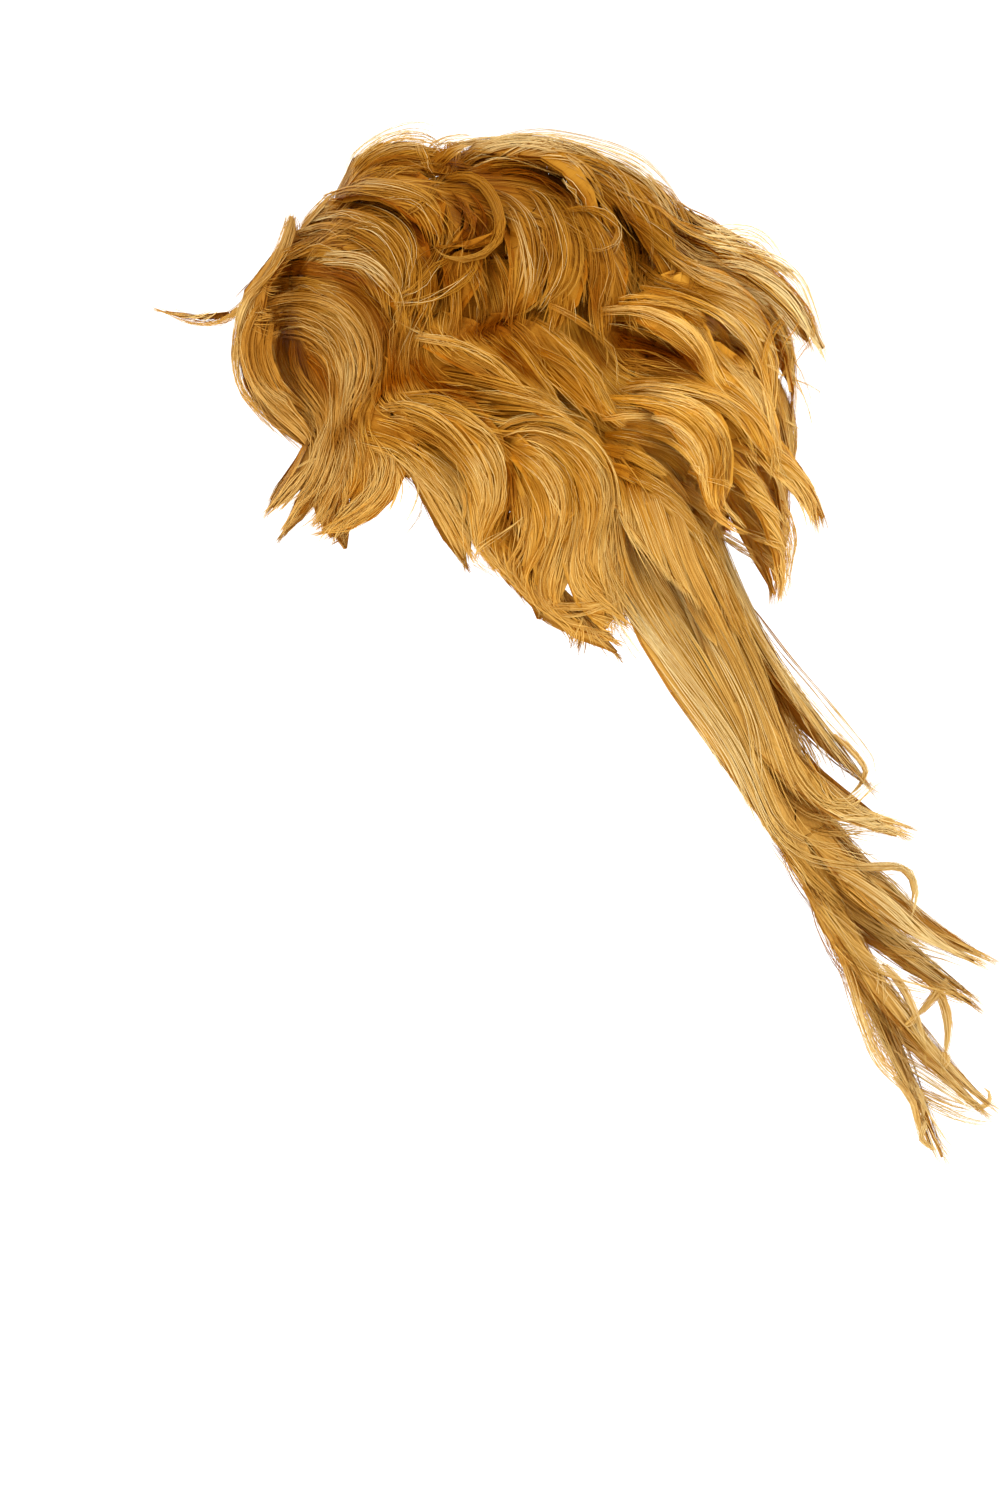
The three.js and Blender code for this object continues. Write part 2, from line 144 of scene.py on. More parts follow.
CROWN_LOCKS = """
the hair swept back from the hairline:
18 1.0 335,190 365,185 398,189 424,200 436,214 440,232
16 0.9 324,203 352,204 384,213 404,230 413,258 408,290
18 1.0 312,216 345,216 378,228 400,250 408,278 398,302
16 0.85 303,232 338,230 368,242 390,264 399,288 393,306
14 1.12 303,256 335,258 362,262 382,276 398,298 402,318
14 0.7 300,268 330,272 360,284 382,304 394,332 394,362
12 0.6 318,278 350,286 376,304 392,336 397,368 388,396
16 0.8 402,240 414,262 415,290 404,318 396,344 400,372
16 0.75 416,250 428,275 428,305 416,332 408,360 410,388
the roots at the hairline: sink=1 body=0.8
14 0.85 288,236 306,232 328,233 352,240
14 0.8 280,254 300,250 324,251 350,258
14 0.75 272,270 296,266 322,271 348,282
14 0.85 262,286 286,281 314,284 342,295
18 0.8 276,300 296,297 320,303 342,318 body=1
fine hair over them: sink=0
12 0.9 294,230 312,224 332,223 352,229 body=0.6
10 0.95 303,219 328,211 356,214 384,226
10 0.95 313,207 340,199 368,203 394,214
10 0.95 323,195 350,189 378,193 404,202
10 0.9 300,225 312,211 325,197 341,183 body=0.6
the front of the crown:
12 1.0 342,178 354,158 374,142 398,131 422,130 440,139 449,156
14 0.95 346,177 362,160 386,146 410,142 432,148 447,164
12 0.65 350,178 372,164 396,158 420,160 440,168 450,174
12 0.9 346,182 376,172 404,170 426,176 438,186
the knot where the front turns over: sink=0
10 1.0 426,152 440,141 458,137 484,137 514,135 548,134 sink=2
9 0.95 418,140 424,156 430,170 434,184 428,200 412,213 399,219
8 0.85 447,138 448,152 446,166 440,178 432,190
3 1.1 448,150 448,138 452,127 458,118
10 0.8 470,152 458,164 448,174 438,182
16 0.95 434,164 448,151 466,144 490,141 514,141 depth=0.3 body=0.6
10 1.05 438,152 456,142 480,138 506,136 depth=0.3 body=0.6
14 0.8 438,174 456,164 476,158 498,157 depth=0.3 body=1
18 0.7 436,168 452,158 470,152 492,150 sink=2 lift=0 depth=0.3 body=1
18 0.7 474,172 502,164 530,166 556,178 depth=0.3 body=1
14 0.85 304,224 320,208 338,200 360,200 body=0.8
9 0.9 452,138 454,150 452,164 447,176 lift=2
7 1.0 463,140 461,152 456,166 450,177 lift=2
the ring curl: sink=0 lift=3 clumps=1 depth=0.7 body=0.8
13 1.0 446,176 462,176 480,184 494,201 501,223 497,244 483,258 462,264 444,260 434,250
the hair inside the ring and below it: sink=2
5 0.95 436,192 446,207 452,226 450,244 440,254 lift=1.2
5 0.85 452,190 464,207 472,226 468,246 458,258 lift=1.2
4 0.8 466,188 480,206 486,226 480,247 lift=1.2
9 0.85 424,206 434,220 441,238 436,256 424,274 406,294
9 0.95 452,262 436,270 424,284 408,297 388,303 sink=0 lift=1.2
8 0.95 476,258 471,276 455,291 432,301 408,306 388,306 sink=0 lift=2
the arcs behind the knot:
14 1.12 450,172 464,158 486,146 514,140 546,144 572,158 592,182 604,206
10 1.05 452,176 474,167 500,160 530,160 558,172 577,192 586,216
10 0.55 480,178 504,172 530,174 556,188 572,208 578,230
9 0.9 480,184 506,196 526,218 536,250 534,284 522,310
9 1.05 498,196 514,218 524,248 528,282 523,308 lift=1.2
10 0.85 500,180 528,194 546,222 552,256 546,288 530,310 508,318
10 0.95 518,178 544,196 560,224 566,256 559,288 540,308 516,317
10 0.85 536,180 558,200 573,228 579,258 572,288 552,308 530,318
10 0.8 552,186 574,206 588,234 594,264 588,294 570,312
the hair that hangs from the crown to the ear: sink=2
10 0.8 426,262 432,285 430,310 424,335 418,356
10 0.65 450,268 456,292 456,318 448,344
10 0.75 470,262 480,290 482,318 474,344
9 0.85 490,250 504,280 508,310 498,336
9 0.7 544,290 536,314 524,338
10 0.75 564,290 560,316 550,342
9 0.65 584,290 584,316 578,338
9 0.7 606,298 608,322 602,344
9 0.8 630,290 636,312 636,334
the hooked tuft: sink=0 lift=2
8 0.9 566,214 586,211 606,218 616,233 609,249 592,256 576,250 clumps=1 depth=0.5
6 0.85 600,205 614,220 619,238 612,256 598,264 lift=1.2
the top and the back of the crown:
14 1.1 458,146 490,140 524,137 556,140 586,150 610,168 626,194 632,222
12 1.05 470,140 508,134 544,131 578,136 612,145 644,160 668,184 686,212
14 0.95 540,142 576,146 610,156 640,172 662,196 676,226 682,258
14 0.85 560,152 596,164 626,184 646,212 656,244 656,278
14 0.75 572,160 602,180 624,206 637,238 641,272 636,304
14 0.8 588,180 608,204 622,234 629,266 626,298 616,316
12 0.85 628,176 652,200 666,230 672,262 668,292
12 0.9 648,170 670,194 686,222 694,252 694,282 686,300
10 0.8 596,222 606,248 610,276 606,304 596,322
8 0.95 672,192 694,216 714,232 732,250 744,266
the hair that runs out over the flicks: sink=3 lift=3
14 0.95 620,210 648,236 676,262 708,276 742,288 772,304 sink=4
12 1.1 640,214 668,238 698,254 732,262 766,276 792,298 sink=4
14 1.05 652,240 676,262 704,282 738,296 764,316 784,334
12 0.9 636,262 660,282 690,292 720,304 744,322
10 1.15 664,210 690,232 716,240 744,243 768,256 lift=2
strays: sink=0 lift=1.2
2 1.15 346,172 352,154 368,138 390,126 414,119 434,122 446,134
2 1.1 338,178 344,164 356,148 372,136
3 1.15 600,144 630,149 656,155 676,168 690,184 700,198
2 1.15 576,136 600,135 622,140 642,150
the flicks at the back of the crown:
9 1.25 692,224 716,229 738,227 758,231 772,242 781,256 787,268
8 1.25 696,234 724,238 748,236 766,243 776,258 sink=2
13 1.2 684,240 716,248 748,254 778,262 800,282 812,310 821,336 828,352
13 1.25 690,258 724,264 756,274 784,292 802,316 813,338 820,356
13 1.2 684,276 718,280 750,290 776,306 794,326 806,346
13 1.12 680,290 714,296 744,310 766,328 784,338 802,342
13 1.05 664,300 700,306 728,320 748,342 760,368 766,396
"""

FRINGE_LOCKS = """
the wisp that flies forward: sink=0 clumps=1 depth=0.5
11 1.1 292,212 287,226 281,246 270,268 256,288 242,305 226,316 206,321 186,319 172,313 163,309
6 1.0 296,222 290,240 280,260 266,280 252,294 240,304
the hair above the wisp: sink=0 clumps=4 body=0.5
16 1.05 290,214 284,240 272,264 258,284 246,302
the top of the forward curl: lift=1.5
12 1.0 244,318 262,304 290,298 322,302 350,318 368,342 376,370
12 0.95 248,326 268,313 294,310 320,318 342,334 356,356
10 0.85 254,334 272,322 294,320 316,328 334,344 346,364
8 0.8 262,344 278,334 296,334 314,342 328,358
the hollow of the forward curl: sink=0 lift=2
12 0.8 272,322 268,350 278,380 300,406 320,432
12 0.72 284,330 282,354 292,380 310,403 326,426
12 0.68 296,340 296,360 306,382 320,403 330,420
2 1.2 268,310 267,330 270,352 278,374
2 1.2 276,308 273,328 274,350 282,370
2 1.2 280,330 300,326 322,332 340,346
the front of the forward curl:
12 0.95 286,270 262,282 246,304 238,332 236,360 242,386 258,406 280,424
12 1.12 240,330 237,360 242,386 256,406 273,424 292,438 sink=2
14 0.85 288,290 266,302 252,324 248,352 256,380 276,404 300,424 316,448
14 0.75 290,300 274,316 264,340 268,368 286,394 308,416 322,446
12 0.7 292,308 282,330 282,358 298,386 318,410 328,440
10 1.1 256,366 268,386 290,402 312,418 324,440
the arch behind it:
14 0.9 288,284 318,282 350,292 372,314 382,344 380,374 366,402 350,424
14 1.1 284,300 312,298 338,308 358,330 366,356 362,384 350,408 338,428
12 1.12 284,312 310,314 334,326 350,348 356,372 350,396 338,418
10 1.0 288,326 312,330 332,344 344,366 345,390 336,410
9 0.8 292,340 312,344 328,358 336,380 336,402 330,420
9 0.6 296,352 312,360 324,376 331,396 330,416
the fan of tips at the temple: sink=0
12 1.05 334,416 322,442 314,464 302,484 286,500 269,513
12 1.0 336,420 328,446 321,470 310,490 296,506 285,519
11 1.05 344,426 338,450 331,474 321,494 309,508 302,520
10 0.9 352,430 350,456 342,482 332,504 325,522 328,538
8 0.85 346,440 343,470 332,496 318,514 310,524
2 1.0 326,458 312,460 302,465 293,470
12 0.8 342,420 352,426 362,440 366,458 360,478 sink=2
"""

SIDE_LOCKS = """
the temple:
10 1.1 388,446 391,464 388,482 376,500 358,514 338,525 318,531 sink=2
12 1.05 380,448 380,470 372,490 356,507 340,522 328,536 sink=2
10 0.95 370,446 368,468 358,490 346,508 336,526 sink=2
12 0.85 340,440 364,443 386,450 404,460 420,474 436,492
10 0.8 346,428 372,434 396,442 420,456 440,476 456,500
8 1.05 404,458 420,476 438,494 454,514 468,534 478,548 sink=0
2 0.9 412,472 419,484 418,500 410,516 402,532 sink=0
3 0.9 384,372 374,390 374,404 380,416 sink=0
the waves over the ear:
10 1.15 376,410 404,407 430,414 452,430 468,448 477,464 lift=2
10 1.12 384,402 416,400 446,406 470,420 488,436 500,456 504,480 lift=1.2
9 1.15 384,416 412,418 436,430 456,446 470,464 lift=1.2
10 0.7 396,428 422,434 444,448 462,468 470,492
9 1.15 418,340 444,343 470,350 494,363 512,379 527,394 sink=-3 lift=2
6 1.0 440,352 466,360 488,372 504,384 lift=1.2
6 1.1 396,318 412,326 426,335 440,344 lift=1.2
11 1.1 428,372 460,377 492,384 522,392 552,402 580,416 lift=1.2
9 0.9 420,386 452,390 486,396 520,402 552,412 582,428
8 1.1 504,334 522,352 538,373 550,394 559,416 sink=-3 lift=2
11 1.1 530,322 556,337 577,357 594,378 606,400 sink=-3 lift=2
7 1.12 550,308 574,321 596,337 612,352 619,368 sink=-3 lift=2
12 0.95 538,352 562,366 584,386 598,410 604,436 sink=-3 lift=2
10 0.9 520,360 544,376 568,394 588,416 600,440
12 0.65 500,318 520,334 536,354 546,378
12 0.6 470,330 492,344 512,360 528,380
12 0.6 410,350 420,372 436,388 460,398
12 0.9 470,404 506,406 540,410 574,420 600,438
10 0.85 468,416 500,418 534,420 566,428
the broad curl behind the ear:
11 1.15 486,440 504,428 530,421 558,424 584,438 603,460 613,488 613,518 604,546 lift=2
11 1.1 496,442 520,432 546,434 570,448 588,472 597,500 594,530 584,556 lift=1.2
11 1.05 508,446 532,442 554,454 572,478 579,506 574,534 566,560
10 1.12 516,454 536,458 552,478 560,504 556,532 548,558 541,584 546,602
10 0.9 518,466 534,482 544,506 544,532 534,558 522,580
10 1.0 512,480 526,500 530,524 522,548 510,568 520,590
the narrow curl before the ear:
11 1.12 470,430 488,448 499,472 500,498 492,522 480,545
10 1.1 456,446 474,462 485,486 485,510 477,534
10 1.0 440,456 458,474 468,496 468,518 464,536
9 1.05 424,468 442,486 454,506 462,526 474,546
10 0.55 500,450 510,474 512,500 506,526 496,548
8 1.0 416,476 430,500 444,524 456,547 468,568 sink=0 lift=2
3 1.12 524,518 508,530 490,541 476,552 474,561 488,568 506,577 sink=0 lift=2
8 0.95 482,540 494,556 510,574 526,592 542,608 sink=2
the loop at the end of the curls: sink=0
6 1.12 540,580 541,598 552,612 570,622 592,630 617,637 body=1
8 1.0 534,590 548,604 570,607 594,606 613,600 body=1
4 1.15 548,610 566,616 588,613 606,605 620,599
2 1.1 582,618 578,628 572,637
fine hairs that cross the waves: sink=0 lift=3
2 1.2 580,322 598,334 610,350 616,372 614,392
2 1.2 590,330 602,342 606,358 604,374
2 1.2 430,384 456,386 484,392 508,400
2 1.2 400,396 436,392 470,396 500,408
2 1.2 396,322 416,332 436,338 460,342
2 1.2 500,440 530,432 562,438 590,458 604,484
2 1.2 470,424 492,442 503,468 504,496
2 1.2 520,464 544,486 558,516 556,550
2 1.2 404,420 430,430 452,446 466,466
2 1.2 540,330 562,352 582,376 598,404
2 1.2 452,392 492,394 534,402 574,418
pale tips over the hollow: sink=-2 lift=3
5 1.2 560,314 582,328 600,342 612,360
6 1.2 556,336 576,351 595,371 612,396
6 1.15 556,352 576,370 594,391 606,414
the neck: lift=4 body=1
15 1.05 628,470 640,510 655,552 676,600 700,648 lift=3
15 1.05 640,472 654,512 670,554 692,602 718,652
15 1.05 652,474 668,514 685,556 708,604 734,654
15 1.05 666,480 682,518 700,560 722,606 746,652
15 1.05 680,490 698,526 716,568 736,610 756,650 lift=3
12 1.1 646,556 664,590 684,622 706,656 lift=2 sink=2 body=0.8
15 1.05 616,448 648,470 680,490 706,514 722,545 lift=5
15 1.05 626,470 654,492 680,512 704,540 722,572 lift=5
15 1.05 640,486 664,508 688,532 708,562 lift=5
the hair between the curls and the neck:
14 0.95 590,520 584,544 584,566 596,586 614,600
13 1.1 606,528 604,552 610,576 624,598 640,622 652,642
13 1.12 614,490 614,522 618,554 630,586 648,618 668,648
13 1.06 624,480 628,514 636,550 650,586 670,622 692,656
12 0.9 620,452 632,484 642,518 656,552 674,588
12 1.06 606,436 626,456 648,484 662,516 676,550 692,588
9 1.1 612,444 640,464 668,478 694,494 712,516
"""

BACK_LAYER_LOCKS = """
fine hairs over the hollow: sink=0 lift=3
2 1.2 606,326 634,332 662,346 684,364
2 1.2 610,350 640,352 668,362 690,376
2 1.2 644,300 672,306 698,318 716,334
2 1.2 640,304 670,310 700,322 724,338
2 1.2 624,392 658,388 694,394 726,408
light hairs over the deepest hollow: sink=-2 lift=4
5 1.2 612,310 644,312 678,324 701,344 711,368 714,386
4 1.2 650,316 686,330 703,350 712,380
light hairs over the waves of the back: sink=0 lift=3
6 1.2 616,392 650,389 688,396 722,404 744,420
6 1.15 636,383 680,385 720,395 749,414 768,442
6 1.15 600,420 640,417 673,424 695,444 703,472
5 1.2 610,440 650,446 681,457 701,478
6 1.15 716,340 742,356 758,380 766,410 772,442 lift=2
5 1.2 730,330 752,350 764,378 769,404 772,426 lift=2
6 1.1 728,400 748,412 764,430 774,454 777,480 lift=2
locks that span the hollows: sink=0 body=1 span=1
14 1.05 606,424 640,427 672,440 694,462 706,490
14 1.0 604,436 640,442 672,458 694,482 708,510
14 1.05 600,450 636,460 664,478 688,502 704,530
14 1.0 606,466 634,478 660,498 682,524 698,552
18 0.95 684,316 706,326 724,338 738,354
the waves below the crown: sink=-3 lift=2
12 1.1 600,314 634,312 666,322 690,340 704,362 712,388
12 1.0 616,304 652,304 686,314 714,330 736,352 750,380
10 0.9 640,296 676,300 708,312 734,332 752,358 760,388
the waves of the back:
9 0.75 612,326 644,330 672,342 692,358 704,378
12 0.5 610,340 640,346 668,356 694,370
12 0.6 606,362 638,366 670,370 700,380
10 1.1 712,330 738,342 756,362 765,386 769,412 lift=1.2
11 1.12 716,360 744,374 762,396 772,422 778,450 776,476
10 1.0 700,376 728,388 750,406 766,430 772,458 768,484
12 1.05 606,384 642,386 676,390 708,400 734,418 750,442 754,466
11 1.12 616,394 652,396 686,404 712,420 726,444 728,470
12 1.0 600,402 640,404 674,414 698,434 710,460 708,488
12 1.12 604,416 640,416 670,426 692,446 702,472 700,498
11 1.05 606,430 640,434 668,446 688,466 696,490
9 0.7 716,428 722,448 720,468 712,488
12 1.0 690,474 716,480 742,492 766,506 782,524 790,546 787,572 783,602
9 1.1 720,462 748,476 772,494 788,514 794,538 790,562 786,584
11 1.1 748,442 770,452 790,466 808,486 819,506 825,522
8 1.1 752,462 776,474 796,492 806,512 809,530
7 1.12 760,454 784,468 802,486 813,506 815,526
9 0.95 690,494 714,514 738,530 762,538 780,546 789,558
9 1.0 692,508 716,530 742,544 764,556 778,570 782,584 776,596
4 1.1 716,530 736,546 752,556 762,568
4 1.05 716,492 724,506 734,518 746,530 sink=0
12 1.0 676,486 696,506 712,530 722,556 730,584
12 1.05 664,470 686,492 702,520 712,550 720,580
loose hairs behind the back: sink=0
2 1.15 756,338 776,350 790,364 800,384 810,408 815,434
2 1.15 762,364 780,373 796,382 806,396
2 1.15 764,410 780,416 796,424 804,429
"""

TAIL_LOCKS = """
from the nape to the first curls:
13 1.12 614,590 646,634 680,676 712,716 738,756 756,798 774,834 802,858 842,868 880,870 904,867 \
915,877 918,896 915,914
13 1.05 628,582 664,630 700,682 730,730 752,776 768,816 794,842 828,852 860,852
12 0.95 642,572 680,626 714,682 742,736 760,784 780,824 812,844 850,846 874,840
10 1.15 662,560 698,620 730,676 750,724 757,770 763,808 780,838 806,858
13 0.9 676,552 712,616 742,676 762,730 774,776 800,808 838,822 872,828 897,836
12 1.0 690,548 726,612 758,676 780,732 798,776 824,804 852,806 870,814 892,818
12 0.85 700,545 734,612 770,678 796,732 814,776 830,800 850,804 866,790 882,780
8 1.05 712,545 744,612 784,680 814,730 834,770 842,798
10 1.12 720,540 740,600 772,656 806,698 838,734 861,758 868,772 862,784 848,798
8 0.95 730,580 762,646 798,700 830,744 852,774 866,788 877,799
9 0.85 780,700 806,742 822,780 832,802 846,806
8 1.1 796,812 830,818 864,818 892,817
8 1.1 800,826 836,834 868,830 892,830 900,838
the lower locks:
12 1.05 772,826 802,868 836,900 872,926 908,944 944,955 970,965
12 0.9 776,840 806,884 840,920 878,946 914,960 944,970 956,974
10 1.1 816,862 852,880 884,902 910,926 930,948 946,956
12 0.8 820,868 852,892 884,918 912,940 934,952
12 0.95 796,866 822,908 850,944 884,968 922,982 954,992 974,1008
11 0.85 806,886 830,930 856,962 890,980 926,990 958,998 972,1004
12 0.9 814,892 840,944 862,992 890,1030 924,1058 956,1084 976,1104 992,1114
12 1.05 822,908 846,960 864,1010 890,1048 924,1074 956,1096 980,1110 994,1100
12 0.95 830,926 852,978 868,1028 888,1068 920,1092 954,1108 984,1114
8 1.12 846,966 862,1016 878,1060 904,1088 938,1110 970,1124 1000,1127
hooks and curls at the ends: clumps=1 depth=0.5 sink=0 body=0.8
7 1.0 896,1078 912,1098 920,1122 926,1142 936,1151 946,1151
6 1.05 918,1090 926,1106 926,1124 924,1140 934,1150 944,1152
10 0.95 922,976 942,994 950,1020 949,1046 943,1076
7 1.05 886,966 906,992 918,1020 925,1046 927,1068
9 0.95 950,980 936,998 922,1014 902,1030
9 1.1 838,858 866,868 892,867 909,871 917,886 917,902 912,918
7 1.0 836,734 858,756 868,772 860,788 846,800
7 1.1 962,1096 982,1110 992,1108 994,1096 984,1088
loose hairs at the ends: sink=0
2 1.1 876,958 877,984 878,1012
3 1.1 882,962 884,990 886,1016
2 1.15 872,1056 878,1092 886,1114 893,1126
2 1.1 606,606 622,630 636,650 648,664
"""

# Painted highlights where light catches the hair and painted shade where it lies deep: how much lighter each
# band is, its half width and its middle
BANDS = """
whole regions:
-0.22 46 410,380 500,376 590,372
-0.14 34 450,206 480,240
-0.5 13 444,158 462,162
0.27 40 640,540 690,600
-0.14 40 780,810 810,840
the front of the crown and the hair swept back:
-0.35 6 358,162 385,158 412,163
0.16 6 352,172 372,142 400,129
0.14 7 345,184 400,182 428,192
-0.35 4 345,202 370,204 396,208
-0.5 7 410,220 424,238 430,260
0.24 6 300,257 340,258 366,265 386,280
-0.55 5 298,266 325,271 350,276 374,285
-0.45 7 350,290 372,306 386,330 392,360 393,388
the arcs of the crown:
0.24 7 462,156 490,146 520,142 552,150 576,170
0.12 6 480,136 560,135 620,148 660,176
-0.5 6 480,173 510,169 546,179 577,202
-0.25 10 496,186 522,196
-0.4 5 456,200 468,222 464,246
-0.5 5 474,195 484,215 480,242
-0.5 8 434,288 452,277
-0.3 9 488,270 508,286 514,304 494,326
0.18 5 512,226 524,260 528,300
-0.3 4 536,240 543,280
-0.3 4 550,232 557,270
-0.4 8 602,262 598,290 594,314
-0.4 5 616,206 640,228 656,256
0.12 7 638,196 668,212
-0.2 9 640,268 656,288
the flicks at the back:
0.5 22 720,236 760,250 800,300 820,340
0.2 18 720,272 770,300
-0.25 9 676,290 712,298
the fringe:
0.8 12 163,309 200,321 236,309
0.14 10 326,300 350,322 357,350 350,388
-0.4 12 284,344 300,352 320,374 336,394
-0.2 9 276,308 268,332
-0.12 10 246,342 258,366
0.16 6 262,392 300,404 334,404
-0.5 9 352,420 372,412 378,394
-0.4 6 336,440 352,431
0.1 12 314,450 326,474
-0.2 6 344,502 362,488
-0.15 6 300,508 330,496
the waves over the ear:
-0.3 9 386,430 420,432 450,446 464,462
-0.5 9 390,386 420,380 442,392 476,400
-0.35 6 414,360 450,368 490,378
0.24 6 380,412 420,412 450,425 470,446 478,464
0.14 5 420,402 455,410 486,432
0.24 5 424,343 470,350 505,372 526,392
-0.5 10 464,334 502,329
-0.35 6 502,364 514,350
-0.25 7 524,370 540,386
0.2 4 514,344 535,365 550,390 559,412
-0.25 9 526,330 545,346
0.24 5 544,321 565,345 582,360 604,396
-0.4 7 574,330 590,350 600,366
0.22 4 560,312 585,322 602,336
the curls:
0.2 7 505,428 540,424 575,436 598,462 610,490 612,516
-0.6 7 500,440 515,446 523,456
-0.5 6 508,470 512,500 505,526
-0.3 5 568,480 574,500 564,518 560,542
0.15 5 548,480 558,505 556,535
0.14 7 480,480 490,502
-0.25 6 484,534 502,546
the back:
-0.6 13 618,342 650,350 692,366
0.22 6 614,314 650,318 685,332 700,350 710,376
-0.25 5 650,303 680,312 702,323
0.15 8 720,312 745,330 756,352
-0.15 6 738,354 752,370
0.16 7 640,394 680,400 706,413 720,440
0.16 7 630,418 665,424 690,442 702,468 700,490
-0.25 5 690,428 710,440 715,462
-0.45 9 611,450 622,470 630,488
-0.25 9 724,440 735,460 720,482
the tail:
0.18 12 626,600 700,690 746,764
-0.15 7 716,690 746,742
0.16 6 770,808 800,836 850,852
-0.2 6 750,812 790,860
-0.2 7 800,880 850,920
0.14 7 820,866 880,900 930,946
0.14 8 860,1010 900,1066 960,1100
"""


def read_rows(table):
    """The rows of a drawn table: two numbers, the points, and what the row and its heading name."""
    shared = {}
    for line in table.strip().splitlines():
        _, colon, row = line.rpartition(":")
        words = row.split()
        named = {key: float(value) for key, value in (word.split("=") for word in words if "=" in word)}
        if colon:
            shared = named
            continue
        points = [tuple(map(int, word.split(","))) for word in words if "," in word]
        yield float(words[0]), float(words[1]), points, shared | named


def read_locks(table):
    return [
        LOCK_DEFAULTS | named | dict(width=width, tone=tone, points=points)
        for width, tone, points, named in read_rows(table)
    ]


DRAWN = {
    "crown": read_locks(CROWN_LOCKS),
    "fringe": read_locks(FRINGE_LOCKS),
    "side": read_locks(SIDE_LOCKS),
    "back_layers": read_locks(BACK_LAYER_LOCKS),
    "tail": read_locks(TAIL_LOCKS),
}

# For each mass: its table and slot; strands to a millimetre of a drawn lock's width on each side that it has;
# how many strands lie on the solid and their length; and its colours at the root, along it, at the tip and
# where it is pale, which is mostly painted light
SIDE_PALETTE = ((0.38, 0.147, 0.009), (0.53, 0.256, 0.033), (0.61, 0.338, 0.068), (0.70, 0.47, 0.168))
MASSES = {
    "crown": dict(
        table="crown", slot="hair_roots", dense={LEFT: 2.2, RIGHT: 0.4}, field=(2800, 42),
        palette=((0.36, 0.153, 0.013), (0.42, 0.189, 0.020), (0.53, 0.282, 0.052), (0.80, 0.60, 0.28)),
    ),
    "fringe": dict(
        table="fringe", slot="hair_roots", dense={LEFT: 3.0, RIGHT: 1.0}, field=(2800, 38),
        palette=((0.35, 0.147, 0.017), (0.44, 0.202, 0.031), (0.55, 0.295, 0.066), (0.66, 0.43, 0.15)),
    ),
    "side_left": dict(
        table="side", slot="hair_lengths", dense={LEFT: 3.2}, field=(3400, 38), palette=SIDE_PALETTE,
    ),
    "side_right": dict(
        table="side", slot="hair_lengths", dense={RIGHT: 1.0}, field=(2500, 38), palette=SIDE_PALETTE,
    ),
    "back_layers": dict(
        table="back_layers", slot="hair_lengths", dense={LEFT: 3.0, RIGHT: 0.7}, field=(3200, 38),
        palette=((0.46, 0.18, 0.010), (0.66, 0.34, 0.05), (0.74, 0.46, 0.12), (0.80, 0.56, 0.21)),
    ),
    "tail": dict(
        table="tail", slot="hair_tail", dense={LEFT: 2.4, RIGHT: 0.8}, field=(3900, 56),
        palette=((0.54, 0.28, 0.048), (0.60, 0.35, 0.088), (0.69, 0.46, 0.15), (0.76, 0.59, 0.29)),
    ),
}


def smooth(x, low, high):
    s = np.clip((np.asarray(x, float) - low) / (high - low), 0, 1)
    return s * s * (3 - 2 * s)


def unit(v):
    return v / np.maximum(np.linalg.norm(v, axis=-1, keepdims=True), 1e-9)


def outward(points):
    """The way out of the hair: off the scalp above the ears, and level below them."""
    off = points - CENTRE
    off[..., 2] = np.maximum(off[..., 2], 0)
    return unit(off / HEAD**2)


def spline(points, count):
    """Evenly spaced points on a smooth curve through the given ones."""
    p = np.array(points, float)
    p = np.concatenate([[2 * p[0] - p[1]], p, [2 * p[-1] - p[-2]]])
    u = np.linspace(0, 1, SPLINE_STEPS, endpoint=False)[:, None]
    fine = []
    for a, b, c, d in zip(p[:-3], p[1:-2], p[2:-1], p[3:]):
        cubic = (2 * a - 5 * b + 4 * c - d) * u**2 + (3 * b - a - 3 * c + d) * u**3
        fine.append(b + 0.5 * ((c - a) * u + cubic))
    fine = np.concatenate(fine + [p[-2:-1]])
    run = np.concatenate([[0], np.cumsum(np.linalg.norm(np.diff(fine, axis=0), axis=1))])
    even = np.linspace(0, run[-1], count)
    return np.stack([np.interp(even, run, fine[:, k]) for k in range(fine.shape[1])], axis=-1)


def side_view(points, count=PATH_POINTS):
    """Evenly spaced points of a drawn line, as (y, z)."""
    return (spline(points, count) - CROWN_ON_DRAWING) * DRAWN_UNIT * (1, -1)


def softened(rows, reach):
    """The rows averaged with their neighbours."""
    weights = np.exp(-0.5 * (np.arange(-3 * reach, 3 * reach + 1) / reach) ** 2)
    weights = weights / weights.sum()
    padded = np.pad(rows, ((3 * reach, 3 * reach), (0, 0)), mode="edge")
    return np.stack([np.convolve(padded[:, k], weights, "valid") for k in range(rows.shape[1])], axis=1)


class Path:
    """A path with the way out of the hair at each point, where t is 0 at the root and 1 at the tip."""

    def __init__(self, points, outs):
        step = points[-1] - points[-2]
        beyond = points[-1] + step * np.arange(1, PATH_BEYOND + 1)[:, None]
        self.points = np.concatenate([points, beyond])
        self.outs = np.concatenate([outs, np.repeat(outs[-1:], PATH_BEYOND, axis=0)])
        self.ways = unit(np.gradient(self.points, axis=0))
        self.t = np.arange(len(self.points)) / (len(points) - 1)
        self.length = float(np.linalg.norm(np.diff(points, axis=0), axis=1).sum())

    def at(self, t):
        """Centre, way across and way out at each t."""
        def read(rows):
            return np.stack([np.interp(t, self.t, rows[:, k]) for k in range(3)], axis=-1)

        centre, along, out = read(self.points), unit(read(self.ways)), read(self.outs)
        out = unit(out - along * np.sum(out * along, axis=-1, keepdims=True))
        return centre, np.cross(along, out), out


